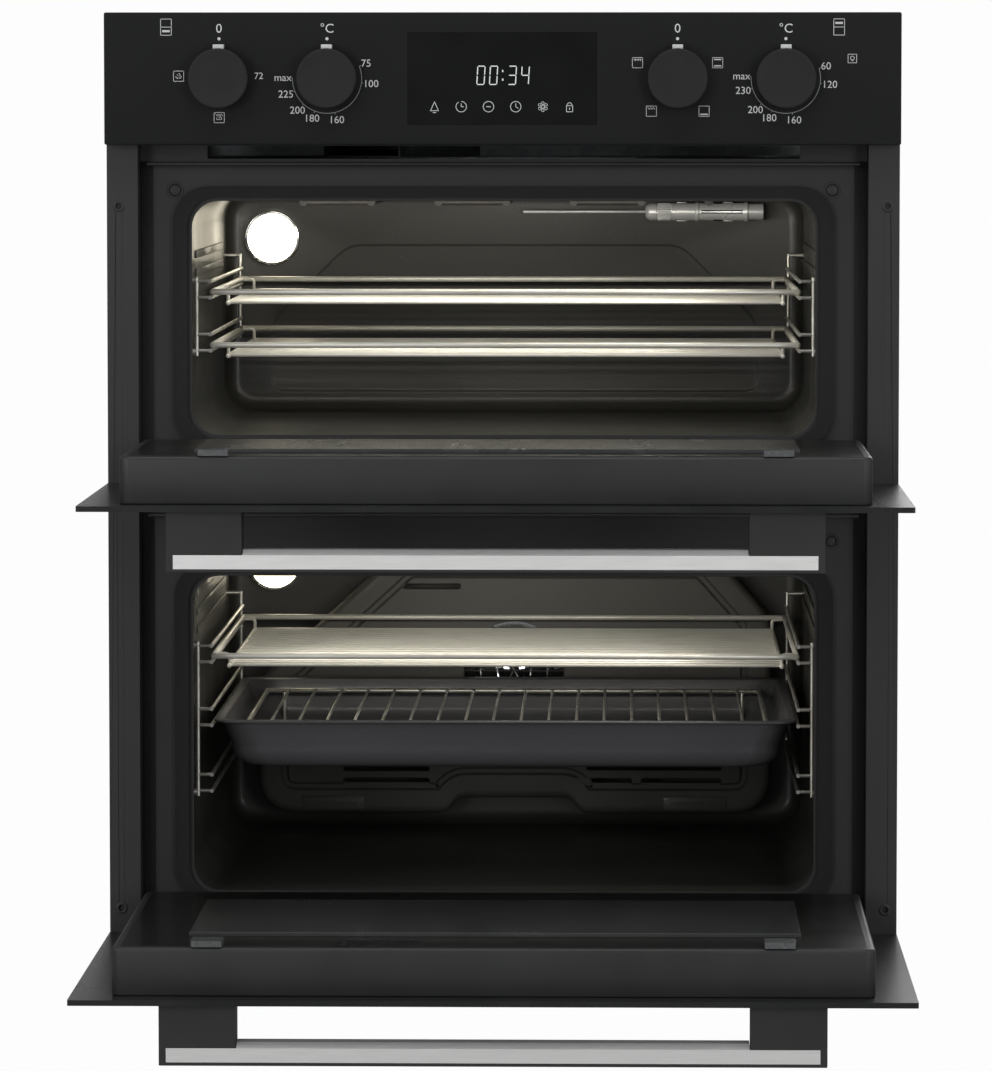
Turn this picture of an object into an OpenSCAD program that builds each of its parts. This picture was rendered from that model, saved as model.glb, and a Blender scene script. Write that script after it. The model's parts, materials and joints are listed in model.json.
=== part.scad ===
// Built-under double wall oven: a grill cavity above a fan cavity, both doors folded down.
// X runs to the right, Y into the cabinet, Z up. The origin is on the underside, at the middle
// of the front edge, in the plane of the cabinet front. The doors are drawn closed, about their
// hinge pins, and then folded down.

/* [Front] */
// Width of the fascia and of both doors
front_w = 594; // [540:1:760]
// Height from the underside to the top of the fascia
front_h = 717; // [700:1:900]
// How far the fascia and the closed doors stand in front of the cabinet
front_proud = 20; // [19:0.5:26]
// Height of the control fascia
fascia_h = 98.5; // [80:0.5:120]
// Sheet of the fascia
fascia_sheet = 1.5; // [1:0.1:2.5]
// Gap above each door
door_gap = 3.5; // [3:0.5:6]
// Lower edge of the lower door above the underside
base_h = 18.5; // [16:0.5:30]
// Height of the lower door
lower_door_h = 336.5; // [280:0.5:410]

/* [Body] */
// Width of the body inside the cabinet
body_w = 546; // [500:1:700]
// Depth of the body behind the cabinet front
body_depth = 548; // [535:1:680]
// Sheet of the body panels and of the front frame
skin = 1.2; // [0.8:0.1:2]
// Sheet of the two front columns
column_sheet = 1; // [0.8:0.1:1.5]
// Distance from the top of the fascia down to the top panel
top_drop = 12; // [8:1:20]
// Distance of the cabinet screws from the front's side edges
screw_inset = 9; // [7:0.5:14]
// Distance of the lower cabinet screws from the underside
screw_low = 42.5; // [35:0.5:60]
// Distance of the upper cabinet screws below the fascia
screw_drop = 46; // [35:0.5:60]
// Radius of the cabinet screw holes
screw_hole_r = 2.3; // [1.8:0.1:3]

/* [Cavities] */
// Width of both cavity mouths
mouth_w = 470; // [400:1:500]
// Depth from the front frame to the upper back wall
cavity_depth = 420; // [380:1:430]
// Extra depth of the lower cavity for its fan
fan_space = 24; // [10:1:30]
// Corner radius of the mouths
mouth_r = 20; // [12:1:30]
// How much the cavities are wider and higher than their mouths, each way
cavity_margin = 3; // [2:0.5:6]
// Enamelled sheet of the cavities
muffle_sheet = 1.2; // [0.8:0.1:2]
// Upper mouth's sill above the upper hinge pins
upper_sill = 31; // [26:0.5:40]
// Upper mouth's head below the top of the upper door
upper_head = 39; // [36:0.5:55]
// Lower mouth's sill above the lower hinge pins
lower_sill = 24.5; // [22:0.5:40]
// Lower mouth's head below the top of the lower door
lower_head = 62.5; // [50:0.5:80]
// Width of each door seal
seal_w = 10.5; // [7:0.5:12]
// Height left for the squeezed seal between a closed door and the frame
seal_gap = 5.5; // [5.2:0.1:8]
// Thickness of the glass-wool jacket
wool_t = 20; // [12:1:22]

/* [Doors] */
// Thickness of the outer door glass
glass_t = 4; // [3:0.5:5]
// Thickness of a whole door
door_t = 38.5; // [34:0.5:46]
// Hinge pins behind the doors' outer faces
hinge_in = 8; // [7.5:0.5:9]
// Radius of the hinge pins
pin_r = 2.5; // [1.5:0.1:2.8]
// Radial play of pins and shafts in their bores
play = 0.06; // [0.03:0.01:0.09]
// Gap between an open door's far edge and the columns
swing_gap = 1; // [0.6:0.1:2]
// Door boxes' sides inside the body's sides
box_side = 5; // [4:0.5:10]
// Door box's top below the glass's top
box_inset = 20; // [20:0.5:40]
// Sheet of the door boxes
box_sheet = 1; // [0.8:0.1:1.5]
// Inner pane's sides inside the mouth
pane_side = 18; // [12:0.5:30]
// Upper inner pane's lower edge above the mouth's sill
upper_pane_low = 30.5; // [20:0.5:50]
// Upper inner pane's upper edge below the mouth's head
upper_pane_head = 19.5; // [10:0.5:30]
// Lower inner pane's lower edge above the mouth's sill
lower_pane_low = 56.5; // [20:0.5:80]
// Lower inner pane's upper edge below the mouth's head
lower_pane_head = 12.5; // [10:0.5:30]

/* [Handles] */
// Overall width of the handles
handle_w = 468; // [360:1:520]
// Width of each handle post
post_w = 54; // [30:1:70]
// Clear space between the door and the handle bar
handle_reach = 31.5; // [25:0.5:45]
// Depth of the bright handle bar
bar_d = 10; // [8:0.5:14]
// Height of the handle
handle_t = 22; // [18:1:34]
// Wall of the handle's dark housing
housing_t = 2.5; // [1.5:0.5:4]
// Distance of the handle below the door's top edge
handle_drop = 12; // [8:1:30]

/* [Controls] */
// Radius of the knobs
knob_r = 22.4; // [16:0.1:24]
// How far the knobs stand out of the fascia
knob_reach = 16; // [10:0.5:24]
// Distance of the inner knobs from the middle
knob_inner = 130.5; // [115:0.5:140]
// Distance of the outer knobs from the middle
knob_outer = 211; // [195:0.5:225]
// Radius of the knob shafts
shaft_r = 3; // [2:0.5:4]
// Width of the display window
window_w = 141; // [100:1:150]
// Height of the display window
window_h = 68.5; // [40:0.5:74]

/* [Shelves] */
// Radius of the side racks' wire
rack_wire_r = 1.5; // [1:0.1:2]
// Distance between the two wires of a level
rack_pitch = 12.5; // [11:0.5:14]
// Radius of the shelves' and trivet's frame rods
rod_r = 2.3; // [1.6:0.1:3]
// Radius of the thin wires
wire_r = 1.3; // [0.9:0.1:1.6]
// How far the grids lie below the shelves' frame rods
grid_drop = 9; // [6:0.5:14]
// Number of thin wires in a shelf
shelf_wires = 17; // [9:1:21]
// Number of thin wires in the trivet
trivet_wires = 18; // [9:1:22]
// Depth of the roasting pan
pan_h = 36; // [20:1:40]

/* [Fans and lamps] */
// Radius of the lamp lenses
lens_r = 21.5; // [15:0.5:24]
// Radius of the fan inlet in the fan cover
inlet_r = 42; // [30:1:60]
// Radius of the convection fan
fan_r = 66; // [50:1:72]
// Depth of the space behind the fan cover
cover_d = 36; // [28:0.5:42]
// Radius of the cooling impeller
impeller_r = 48; // [35:1:56]

/* [Hidden] */
$fn = 32;
eps = 0.01;
touch = 0.3; // gap between a moving surface and what it nearly touches

half_w = front_w / 2;
half_body = body_w / 2;
front_y = -front_proud;
fascia_z = front_h - fascia_h;
fascia_mid = fascia_z + fascia_h / 2;
upper_z = base_h + lower_door_h + door_gap;
upper_door_h = fascia_z - door_gap - upper_z;
lower_top = base_h + lower_door_h;
upper_top = upper_z + upper_door_h;
body_top = front_h - top_drop;

// Hinges: the far edge of an open door stops just in front of the columns.
pin_y = front_y + hinge_in;
hinge_up = front_proud - hinge_in - column_sheet - swing_gap;
lower_pin_z = base_h + hinge_up;
upper_pin_z = upper_z + hinge_up;
box_x = half_body - box_side;
cheek_t = 3;
arm_t = 5;
arm_gap = 2;
cheek_x = box_x - box_sheet - 2 * cheek_t - arm_t - 2 * arm_gap - 2;
arm_x = cheek_x + cheek_t + arm_gap;
arm_h = 6;
arm_depth = 76;

// Recessed front frame, cavity mouths and cavities
frame_y = front_y + door_t + seal_gap;
frame_back = frame_y + skin;
back_y = frame_y + cavity_depth;
fan_back_y = back_y + fan_space;
column_x = half_body + 0.6;
mouth_x = mouth_w / 2;
cavity_x = mouth_x + cavity_margin;
upper_sill_z = upper_pin_z + upper_sill;
upper_head_z = upper_top - upper_head;
lower_sill_z = lower_pin_z + lower_sill;
lower_head_z = lower_top - lower_head;
seal_in = 3.5;
seal_out = seal_in + seal_w;
deck_z = upper_head_z + cavity_margin + muffle_sheet + wool_t + 5;
vent_z = deck_z + skin;

// Shelf levels: the lower wire of each pair
upper_mid_z = (upper_sill_z + upper_head_z) / 2;
lower_mid_z = (lower_sill_z + lower_head_z) / 2;
upper_levels = [upper_mid_z + 14, upper_mid_z - 26.5];
lower_levels = [lower_mid_z + 50, lower_mid_z + 1.5, lower_mid_z - 49];
rack_x = cavity_x - 13.5;
post_x = cavity_x - 3;
rack_front = frame_y + 44;
rack_back = back_y - 20;
shelf_x = rack_x - 1;
shelf_front = rack_front + 7;
shelf_back = rack_back - 8;
grid_x = shelf_x - 11;
lamp_x = 38 - cavity_x;
lamp_z = upper_head_z - 37;
fan_lamp_z = lower_head_z - 25;

// Doors, measured from the hinge pins when closed
glass_front = -hinge_in;
glass_back = glass_front + glass_t;
box_low = hinge_up + 5;
box_back = glass_front + door_t;
seat = 8; // how far an inner pane laps over its window
inner_t = 3;

function arc(x, z, r, from, steps = 8) =
  [for (i = [0:steps]) [x + r * cos(from + 90 * i / steps), z + r * sin(from + 90 * i / steps)]];
function round_box(x0, z0, x1, z1, r) = concat(arc(x1 - r, z0 + r, r, -90), arc(x1 - r, z1 - r, r, 0),
  arc(x0 + r, z1 - r, r, 90), arc(x0 + r, z0 + r, r, 180));
// A seal is narrower above and below the mouth than at its sides.
seal_rise = 0.8;
seal_drop = 0.65;
function mouth(low, high, out = 0) =
  round_box(-mouth_x - out, low - seal_drop * out, mouth_x + out, high + seal_rise * out, mouth_r + out / 2);

// Plates and rods along the axes
module block(x0, y0, z0, x1, y1, z1) translate([x0, y0, z0]) cube([x1 - x0, y1 - y0, z1 - z0]);
module plate_y(y, t) translate([0, y + t, 0]) rotate([90, 0, 0]) linear_extrude(t) children();
module plate_x(x, t) translate([x, 0, 0]) rotate([90, 0, 90]) linear_extrude(t) children();
module rod_x(x0, x1, y, z, r) translate([x0, y, z]) rotate([0, 90, 0]) cylinder(h = x1 - x0, r = r);
module rod_y(x, y0, y1, z, r) translate([x, y0, z]) rotate([-90, 0, 0]) cylinder(h = y1 - y0, r = r);
module rod_z(x, y, z0, z1, r) translate([x, y, z0]) cylinder(h = z1 - z0, r = r);
module both_sides() {
  children();
  mirror([1, 0, 0]) children();
}

// ---- Body panels ----
module base_panel() color("#8d9093") {
  block(-half_body, -column_sheet, 0, half_body, body_depth, skin);
  block(-half_body, -column_sheet, skin, half_body, 0, base_h - 5);
}

module side_panel() color("#9a9da0") difference() {
  block(half_body - skin, frame_back, skin, half_body, body_depth - skin, body_top - skin);
  for (i = [0:5])
    block(half_body - 2 * skin, body_depth - 140, body_top - 60 - 9 * i, half_body + skin, body_depth - 60,
      body_top - 56 - 9 * i);
}

module left_side_panel() mirror([1, 0, 0]) side_panel();
module right_side_panel() side_panel();

module top_panel() color("#9a9da0") difference() {
  block(-half_body, frame_back, body_top - skin, half_body, body_depth, body_top);
  for (i = [-4:4])
    block(22 * i - 3, body_depth - 120, body_top - 2 * skin, 22 * i + 3, body_depth - 70, body_top + skin);
}

gland_x = half_body - 60;
gland_z = body_top - 70;
gland_r = 11;
module rear_panel() color("#9a9da0") difference() {
  block(-half_body, body_depth - skin, skin, half_body, body_depth, body_top - skin);
  rod_y(gland_x, body_depth - 2 * skin, body_depth + skin, gland_z, gland_r - 2);
  for (i = [0:7])
    block(-100, body_depth - 2 * skin, deck_z - 130 + 10 * i, 100, body_depth + skin, deck_z - 126 + 10 * i);
}

module air_deck() color("#9a9da0")
  block(-half_body + skin, frame_back, deck_z, half_body - skin, body_depth - skin, vent_z);

// ---- Front ----
module column() color("#2f3031") difference() {
  union() {
    block(column_x, -column_sheet, 0, half_w, 0, body_top);
    block(column_x, 0, 0, column_x + column_sheet, frame_back, body_top);
  }
  for (z = [screw_low, fascia_z - screw_drop])
    rod_y(half_w - screw_inset, -5, 5, z, screw_hole_r);
}

module left_column() mirror([1, 0, 0]) column();
module right_column() column();

vent_x = half_body - 50;
module front_frame() color("#343536") difference() {
  block(-column_x, frame_y, skin, column_x, frame_back, body_top - skin);
  plate_y(frame_y - skin, 3 * skin) polygon(mouth(lower_sill_z, lower_head_z));
  plate_y(frame_y - skin, 3 * skin) polygon(mouth(upper_sill_z, upper_head_z));
  block(-knob_outer - 30, frame_y - skin, fascia_z + 8, knob_outer + 30, frame_back + skin, body_top - 12);
  block(-vent_x, frame_y - skin, vent_z + 1.5, vent_x, frame_back + skin, fascia_z - 1);
  both_sides() for (z = [lower_pin_z, upper_pin_z])
    block(arm_x - 2, frame_y - skin, z - arm_h - 2.5, arm_x + arm_t + 2, frame_back + skin, z + arm_h + 2.5);
}

// A folded sheet that throws the cooling air forward over the door
guide_reach = 14;
module air_guide(z) color("#3b3c3d") plate_x(-column_x + 6, 2 * column_x - 12) {
  translate([frame_y - guide_reach, z]) square([guide_reach, skin]);
  translate([frame_y - guide_reach, z + 1.4]) circle(r = 1.4, $fn = 24);
  translate([frame_y - skin, z]) square([skin, 4]);
}
module air_guides() {
  air_guide(upper_top - 12.5);
  air_guide(lower_top - 17);
}

plug_r = 5.5;
module frame_plugs() color("#1c1c1c") both_sides()
  for (z = [upper_head_z + 8.2, lower_head_z + 27])
    rod_y(mouth_x + 12.5, frame_y - 1.5, frame_y, z, z > upper_z ? plug_r : plug_r - 0.5);

module control_fascia() color("#232425") difference() {
  block(-half_w, front_y, fascia_z, half_w, -column_sheet, front_h);
  block(-half_w + fascia_sheet, front_y + fascia_sheet, fascia_z + fascia_sheet, half_w - fascia_sheet, 5,
    front_h - fascia_sheet);
  block(-window_w / 2, front_y - 1, fascia_mid - window_h / 2, window_w / 2, front_y + 5,
    fascia_mid + window_h / 2);
  both_sides() for (x = [knob_inner, knob_outer])
    rod_y(x, front_y - 1, front_y + 5, fascia_mid, shaft_r + 1.5);
}

module display_window() color("#0c0d0f")
  block(-window_w / 2 + 0.2, front_y + 0.2, fascia_mid - window_h / 2 + 0.2, window_w / 2 - 0.2,
    front_y + fascia_sheet, fascia_mid + window_h / 2 - 0.2);

module display_module() color("#16301f") {
  block(-window_w / 2 - 6, front_y + fascia_sheet, fascia_mid - window_h / 2 - 4, window_w / 2 + 6,
    front_y + fascia_sheet + 5, fascia_mid + window_h / 2 + 4);
  board_y = front_y + fascia_sheet + 5;
  for (x = [-40, 0, 35]) block(x - 9, board_y, fascia_mid - 14, x + 9, board_y + 7, fascia_mid + 10);
}

switch_depth = 26;
switch_w = 34;
shaft_depth = 15;
pointer_w = 8;
module rotary_switches() color("#e6e2d8") both_sides() for (x = [knob_inner, knob_outer]) difference() {
  block(x - switch_w / 2, front_y + fascia_sheet, fascia_mid - switch_w / 2, x + switch_w / 2,
    front_y + fascia_sheet + switch_depth, fascia_mid + switch_w / 2);
  rod_y(x, front_y, front_y + fascia_sheet + shaft_depth, fascia_mid, shaft_r + play);
}

module knob(x) color("#2b2c2d") {
  rod_y(x, front_y - 0.6 - eps, front_y + fascia_sheet + shaft_depth - 1, fascia_mid, shaft_r);
  translate([x, front_y - 0.6, fascia_mid]) rotate([90, 0, 0]) {
    cylinder(h = knob_reach - 1.6, r = knob_r, $fn = 96);
    translate([0, 0, knob_reach - 1.6 - eps]) cylinder(h = 1 + eps, r1 = knob_r, r2 = knob_r - 1, $fn = 96);
  }
  block(x - pointer_w / 2, front_y - knob_reach * 0.7, fascia_mid + knob_r - 1, x + pointer_w / 2,
    front_y - 0.6, fascia_mid + knob_r + 3);
}
module left_function_knob() knob(-knob_outer);
module left_temperature_knob() knob(-knob_inner);
module right_function_knob() knob(knob_inner);
module right_temperature_knob() knob(knob_outer);

// ---- Cavities ----
function cavity(low, high, out = 0) =
  round_box(-cavity_x - out, low - cavity_margin - out, cavity_x + out, high + cavity_margin + out,
    mouth_r + 4 + out);

module muffle(low, high, back, lamp) difference() {
  plate_y(frame_back, back + muffle_sheet - frame_back) polygon(cavity(low, high, muffle_sheet));
  plate_y(frame_back - 1, back + 1 - frame_back) polygon(cavity(low, high));
  rod_y(lamp_x, back - 5, back + 5, lamp, holder_r);
}

// The upper back wall is pressed out in a trapezium.
emboss = 1.5;
module upper_muffle() color("#6f6b62") {
  muffle(upper_sill_z, upper_head_z, back_y, lamp_z);
  x = cavity_x - 36;
  low = upper_sill_z + 12;
  high = upper_head_z - 42;
  plate_y(back_y - emboss, emboss)
    polygon([[-x, low], [x, low], [x, high - 64], [x - 64, high], [64 - x, high], [-x, high - 64]]);
}

fan_z = lower_mid_z + 8;
shaft_hole_r = 9;
module lower_muffle() color("#6f6b62") difference() {
  muffle(lower_sill_z, lower_head_z, fan_back_y, fan_lamp_z);
  rod_y(0, fan_back_y - 5, fan_back_y + 5, fan_z, shaft_hole_r);
  for (x = [-8, 8]) rod_y(x, fan_back_y - 5, fan_back_y + 5, fan_z - ring_r, tube_r);
}

module door_seal(low, high) color("#1b1b1c")
  plate_y(frame_y - seal_gap + touch, seal_gap - touch) difference() {
    polygon(mouth(low, high, seal_out));
    polygon(mouth(low, high, seal_in));
  }
module upper_door_seal() door_seal(upper_sill_z, upper_head_z);
module lower_door_seal() door_seal(lower_sill_z, lower_head_z);

// Glass wool over the top, sides and back of each cavity
wool_front = frame_y + arm_depth + 30;
module wool_jacket(low, high, back, lamp) difference() {
  plate_y(wool_front, back + muffle_sheet + wool_t - wool_front)
    polygon(cavity(low, high, muffle_sheet + wool_t));
  plate_y(wool_front - 1, back + muffle_sheet - wool_front + 1) polygon(cavity(low, high, muffle_sheet));
  block(-half_body, 0, low - 80, half_body, body_depth, low - cavity_margin - muffle_sheet);
  rod_y(lamp_x, back, body_depth, lamp, holder_r);
}
module glass_wool() color("#d9c98a") {
  wool_jacket(upper_sill_z, upper_head_z, back_y, lamp_z);
  difference() {
    wool_jacket(lower_sill_z, lower_head_z, fan_back_y, fan_lamp_z);
    rod_y(0, fan_back_y, body_depth, fan_z, motor_r + 2);
    block(-14, fan_back_y, fan_z - ring_r - 6, 14, body_depth, fan_z);
  }
}

lens_t = 8;
holder_r = 17;
holder_d = 44;
lamps = [[back_y, lamp_z], [fan_back_y, fan_lamp_z]];
module lamp_lenses() color("#fff4d8") for (l = lamps)
  translate([lamp_x, l[0], l[1]]) rotate([90, 0, 0]) {
    cylinder(h = lens_t - 3, r = lens_r, $fn = 64);
    translate([0, 0, lens_t - 3 - eps]) cylinder(h = 3 + eps, r1 = lens_r, r2 = lens_r - 4, $fn = 64);
  }
module lamp_holders() color("#d8d4c8") for (l = lamps)
  rod_y(lamp_x, l[0], l[0] + holder_d, l[1], holder_r);

// ---- Heating elements ----
tube_r = 3.2;
module tube_y(x, y0, y1, z) rod_y(x, y0 - tube_r - 0.6, y1 + tube_r + 0.6, z, tube_r);
module tube_x(x0, x1, y, z) rod_x(x0, x1, y, z, tube_r - 0.3);

grill_pitch = (cavity_x - 82) / 3;
grill_front = frame_y + 100;
grill_back = back_y - 30;
module grill_element() color("#55524e") {
  z = upper_head_z + cavity_margin - 5;
  for (i = [-3:3]) tube_y(i * grill_pitch, grill_front, abs(i) == 3 ? back_y - tube_r - 0.6 : grill_back, z);
  for (i = [-3:2]) tube_x(i * grill_pitch, (i + 1) * grill_pitch, i % 2 == 0 ? grill_back : grill_front, z);
  for (i = [-2, 2]) rod_z(i * grill_pitch, (grill_front + grill_back) / 2, z, z + 5, 2);
}

// An outer and an inner loop of tube, strapped to the underside of a cavity
module base_loop(z) {
  outer = cavity_x - 88;
  inner = outer / 3;
  tube_x(-outer, outer, frame_y + 90, z);
  tube_x(-inner, inner, back_y - 60, z);
  both_sides() {
    tube_y(outer, frame_y + 90, back_y + 20, z);
    tube_y(inner, frame_y + 150, back_y - 60, z);
    tube_x(inner, outer, frame_y + 150, z);
    for (y = [frame_y + 190, back_y - 90])
      block(outer - 8, y - 6, z - tube_r - 1, outer + 8, y + 6, z + tube_r);
  }
}
module base_elements() color("#55524e")
  for (low = [upper_sill_z, lower_sill_z]) base_loop(low - cavity_margin - muffle_sheet - tube_r);

ring_r = fan_r + 8;
module ring_element() color("#55524e") {
  translate([0, fan_back_y - cover_d / 2, fan_z]) rotate([90, 0, 0]) rotate_extrude($fn = 72)
    translate([ring_r, 0]) circle(r = tube_r - 0.4, $fn = 24);
  for (x = [-8, 8]) rod_y(x, fan_back_y - cover_d / 2 - 1, fan_back_y + 24, fan_z - ring_r, tube_r);
}

// ---- Temperature probe in the upper cavity ----
probe_y = back_y - 16;
probe_z = upper_head_z - 15;
probe_r = 7.5;
module temperature_probe() color("#dfe1e3") {
  rod_x(8, 112, probe_y, probe_z, 1.3);
  difference() {
    union() {
      rod_x(110, 205, probe_y, probe_z, probe_r);
      for (x = [120, 154, 190]) rod_x(x, x + 6, probe_y, probe_z, probe_r + 0.6);
    }
    block(196, probe_y - 10, probe_z - 2.5, 206, probe_y + 10, probe_z + 2.5);
  }
  for (x = [138, 176]) block(x - 4, probe_y + 3, probe_z - 4, x + 4, back_y, probe_z + 4);
}

// ---- Fan ----
cover_low = lower_sill_z + 9;
cover_high = lower_head_z - 9;
cover_x = cavity_x - 25;
cover_r = 26;
// A foot with a notch, and a top with a short slope at the right and a long one at the left
function cover_outline(in = 0) = concat(arc(cover_r - cover_x, cover_low + cover_r, cover_r - in, 180),
  [[-56, cover_low + in], [-46, cover_low + 13 + in], [46, cover_low + 13 + in], [56, cover_low + in]],
  arc(cover_x - cover_r, cover_low + cover_r, cover_r - in, -90),
  [[cover_x - in, cover_high - 59], [cover_x - 50 - in / 2, cover_high - in],
  [118 - cover_x + in / 2, cover_high - in], [in - cover_x, cover_high - 112]]);
module cover_slot(x0, x1, z, h) block(x0, fan_back_y - cover_d - 5, z, x1, fan_back_y - cover_d + 5, z + h);
module fan_cover() color("#716d64") {
  difference() {
    plate_y(fan_back_y - cover_d, cover_d) polygon(cover_outline());
    plate_y(fan_back_y - cover_d + skin, cover_d) polygon(cover_outline(skin));
    rod_y(0, fan_back_y - cover_d - 5, fan_back_y, fan_z, inlet_r);
    for (s = [[-142, -70], [30, 98], [105, 172]])
      cover_slot(s[0], s[1], cover_low + 22, 6);
    cover_slot(-142, -70, cover_low + 32, 4);
    cover_slot(-115, -85, cover_high - 35, 4);
  }
  for (r = [14, 28]) translate([0, fan_back_y - cover_d + skin, fan_z]) rotate([90, 0, 0]) difference() {
    cylinder(h = skin, r = r + 1.2, $fn = 64);
    translate([0, 0, -1]) cylinder(h = skin + 2, r = r - 1.2, $fn = 64);
  }
  for (a = [0, 60, 120]) translate([0, fan_back_y - cover_d, fan_z]) rotate([0, a, 0])
    block(-inlet_r - 1, 0, -1, inlet_r + 1, skin, 1);
}

module convection_fan() color("#c4c6c8") {
  rod_y(0, fan_back_y - cover_d + 5, fan_back_y + 30, fan_z, 4);
  rod_y(0, fan_back_y - cover_d + 6, fan_back_y - 8, fan_z, 10);
  rod_y(0, fan_back_y - 9.2, fan_back_y - 8, fan_z, fan_r - 4);
  for (i = [0:11]) translate([0, fan_back_y - cover_d + 9, fan_z]) rotate([0, 30 * i, 0])
    block(8, 0, -0.6, fan_r, cover_d - 17.4, 0.6);
}

motor_r = 36;
module fan_motor() color("#b4b6b8") difference() {
  union() {
    rod_y(0, fan_back_y + muffle_sheet, fan_back_y + 56, fan_z, motor_r);
    wool_back = fan_back_y + muffle_sheet + wool_t;
    block(-50, wool_back, fan_z - 8, 50, wool_back + 2, fan_z + 8);
  }
  rod_y(0, fan_back_y, fan_back_y + 32, fan_z, 4 + play);
}

// ---- Side racks, shelves, pan ----
// Each level is a pair of wires that turn out to a post at the front.
module rack(levels, top) color("#d2d4d6") {
  low = levels[len(levels) - 1];
  rod_z(post_x, rack_front, low - 4, top, rack_wire_r);
  rod_z(rack_x + 1.2, rack_back, low - 4, top + 9, rack_wire_r);
  rod_x(rack_x, cavity_x, rack_back, top + 8, rack_wire_r);
  for (z = levels, h = [0, rack_pitch]) {
    rod_y(rack_x, rack_front - rack_wire_r - 0.4, rack_back + rack_wire_r + 0.4, z + h, rack_wire_r);
    rod_x(rack_x, post_x, rack_front, z + h, rack_wire_r - 0.1);
  }
  for (z = [low - 1, top - 2]) rod_x(post_x, cavity_x, rack_front, z, rack_wire_r + 1.2);
}
module upper_right_rack() rack(upper_levels, upper_levels[0] + rack_pitch + 3);
module upper_left_rack() mirror([1, 0, 0]) upper_right_rack();
module lower_right_rack() rack(lower_levels, lower_levels[0] + rack_pitch + 3);
module lower_left_rack() mirror([1, 0, 0]) lower_right_rack();

// A wire shelf resting on the lower wire of a level
module wire_shelf(level, $fn = 16) color("#cfd1d3") {
  z = level + rack_wire_r + rod_r + touch;
  both_sides() rod_y(shelf_x, shelf_front - rod_r - 0.5, shelf_back + rod_r + 0.5, z, rod_r);
  for (y = [shelf_front, shelf_back]) rod_x(-shelf_x, shelf_x, y, z, rod_r - 0.2);
  for (i = [1:shelf_wires]) {
    y = shelf_front + (shelf_back - shelf_front) * i / (shelf_wires + 1);
    rod_x(-grid_x, grid_x, y, z - grid_drop, wire_r);
    both_sides() rod_z(grid_x, y, z - grid_drop - wire_r - 0.3, z + wire_r + 0.3, wire_r + 0.15);
    both_sides() rod_x(grid_x, shelf_x - 1, y, z, wire_r);
  }
}
module upper_shelf() wire_shelf(upper_levels[0]);
module middle_shelf() wire_shelf(upper_levels[1]);
module lower_shelf() wire_shelf(lower_levels[0]);

// The roasting pan: its rim runs on the wires, its sides taper to the floor.
pan_sheet = 1.5;
pan_taper = 16;
pan_z = lower_levels[1] + rack_wire_r + touch;
pan_front = shelf_front - 6;
pan_back = shelf_back;
pan_body_x = rack_x - rack_wire_r - 5;
module pan_block(in, low) {
  x = pan_body_x - in;
  y0 = pan_front + 8 + in;
  y1 = pan_back - 8 - in;
  hull() {
    block(-x, y0, pan_z, x, y1, pan_z + pan_sheet);
    block(pan_taper - x, y0 + 10, low, x - pan_taper, y1 - 10, low + 0.5);
  }
}
module roasting_pan() color("#3a3a3c") difference() {
  union() {
    pan_block(0, pan_z - pan_h);
    block(-shelf_x, pan_front, pan_z, shelf_x, pan_back, pan_z + pan_sheet);
    block(-pan_body_x, pan_front, pan_z - 5, pan_body_x, pan_front + pan_sheet, pan_z + eps);
  }
  pan_block(pan_sheet, pan_z - pan_h + pan_sheet);
  block(pan_sheet - pan_body_x, pan_front + 8 + pan_sheet, pan_z, pan_body_x - pan_sheet,
    pan_back - 8 - pan_sheet, pan_z + 10);
}

trivet_z = pan_z - 8;
trivet_x = pan_body_x - pan_taper;
trivet_front = pan_front + 22;
trivet_back = pan_back - 22;
module pan_trivet() color("#d2d4d6") {
  for (y = [trivet_front, trivet_back]) rod_x(-trivet_x, trivet_x, y, trivet_z, rod_r - 0.4);
  both_sides() rod_y(trivet_x, trivet_front - rod_r, trivet_back + rod_r, trivet_z, rod_r - 0.2);
  for (i = [0:trivet_wires - 1])
    rod_y((i / (trivet_wires - 1) - 0.5) * 1.82 * trivet_x, trivet_front, trivet_back, trivet_z + 0.9,
      wire_r - 0.1);
  both_sides() for (y = [trivet_front, trivet_back])
    rod_z(trivet_x - 14, y, pan_z - pan_h + pan_sheet + 0.5, trivet_z, 1.6);
}

// ---- Cooling blower ----
blower_x = -90;
blower_y = body_depth - 110;
blower_r = impeller_r + 14;
blower_h = 56;
module blower_housing() color("#a7aaad") {
  difference() {
    union() {
      rod_z(blower_x, blower_y, vent_z, vent_z + blower_h, blower_r);
      block(blower_x - blower_r, blower_y - blower_r - 50, vent_z, blower_x, blower_y, vent_z + blower_h);
    }
    rod_z(blower_x, blower_y, vent_z + skin, vent_z + blower_h - skin, blower_r - skin);
    block(blower_x - blower_r + skin, blower_y - blower_r - 60, vent_z + skin, blower_x - skin, blower_y,
      vent_z + blower_h - skin);
    rod_z(blower_x, blower_y, vent_z + blower_h - 2 * skin, vent_z + blower_h + skin, 10);
  }
  difference() {
    rod_z(blower_x, blower_y, vent_z + blower_h, vent_z + blower_h + 24, 26);
    rod_z(blower_x, blower_y, vent_z + blower_h - 1, vent_z + blower_h + 14, 3 + play);
  }
}
module blower_impeller() color("#8f9294") {
  rod_z(blower_x, blower_y, vent_z + 6, vent_z + blower_h + 13, 3);
  rod_z(blower_x, blower_y, vent_z + 6, vent_z + 8, impeller_r);
  for (i = [0:15]) translate([blower_x, blower_y, vent_z + 8 - eps]) rotate([0, 0, 22.5 * i])
    block(impeller_r - 12, -0.6, 0, impeller_r, 0.6, blower_h - 20);
  translate([blower_x, blower_y, vent_z + blower_h - 13]) difference() {
    cylinder(h = 1.5, r = impeller_r);
    translate([0, 0, -1]) cylinder(h = 4, r = impeller_r - 12);
  }
}

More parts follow.
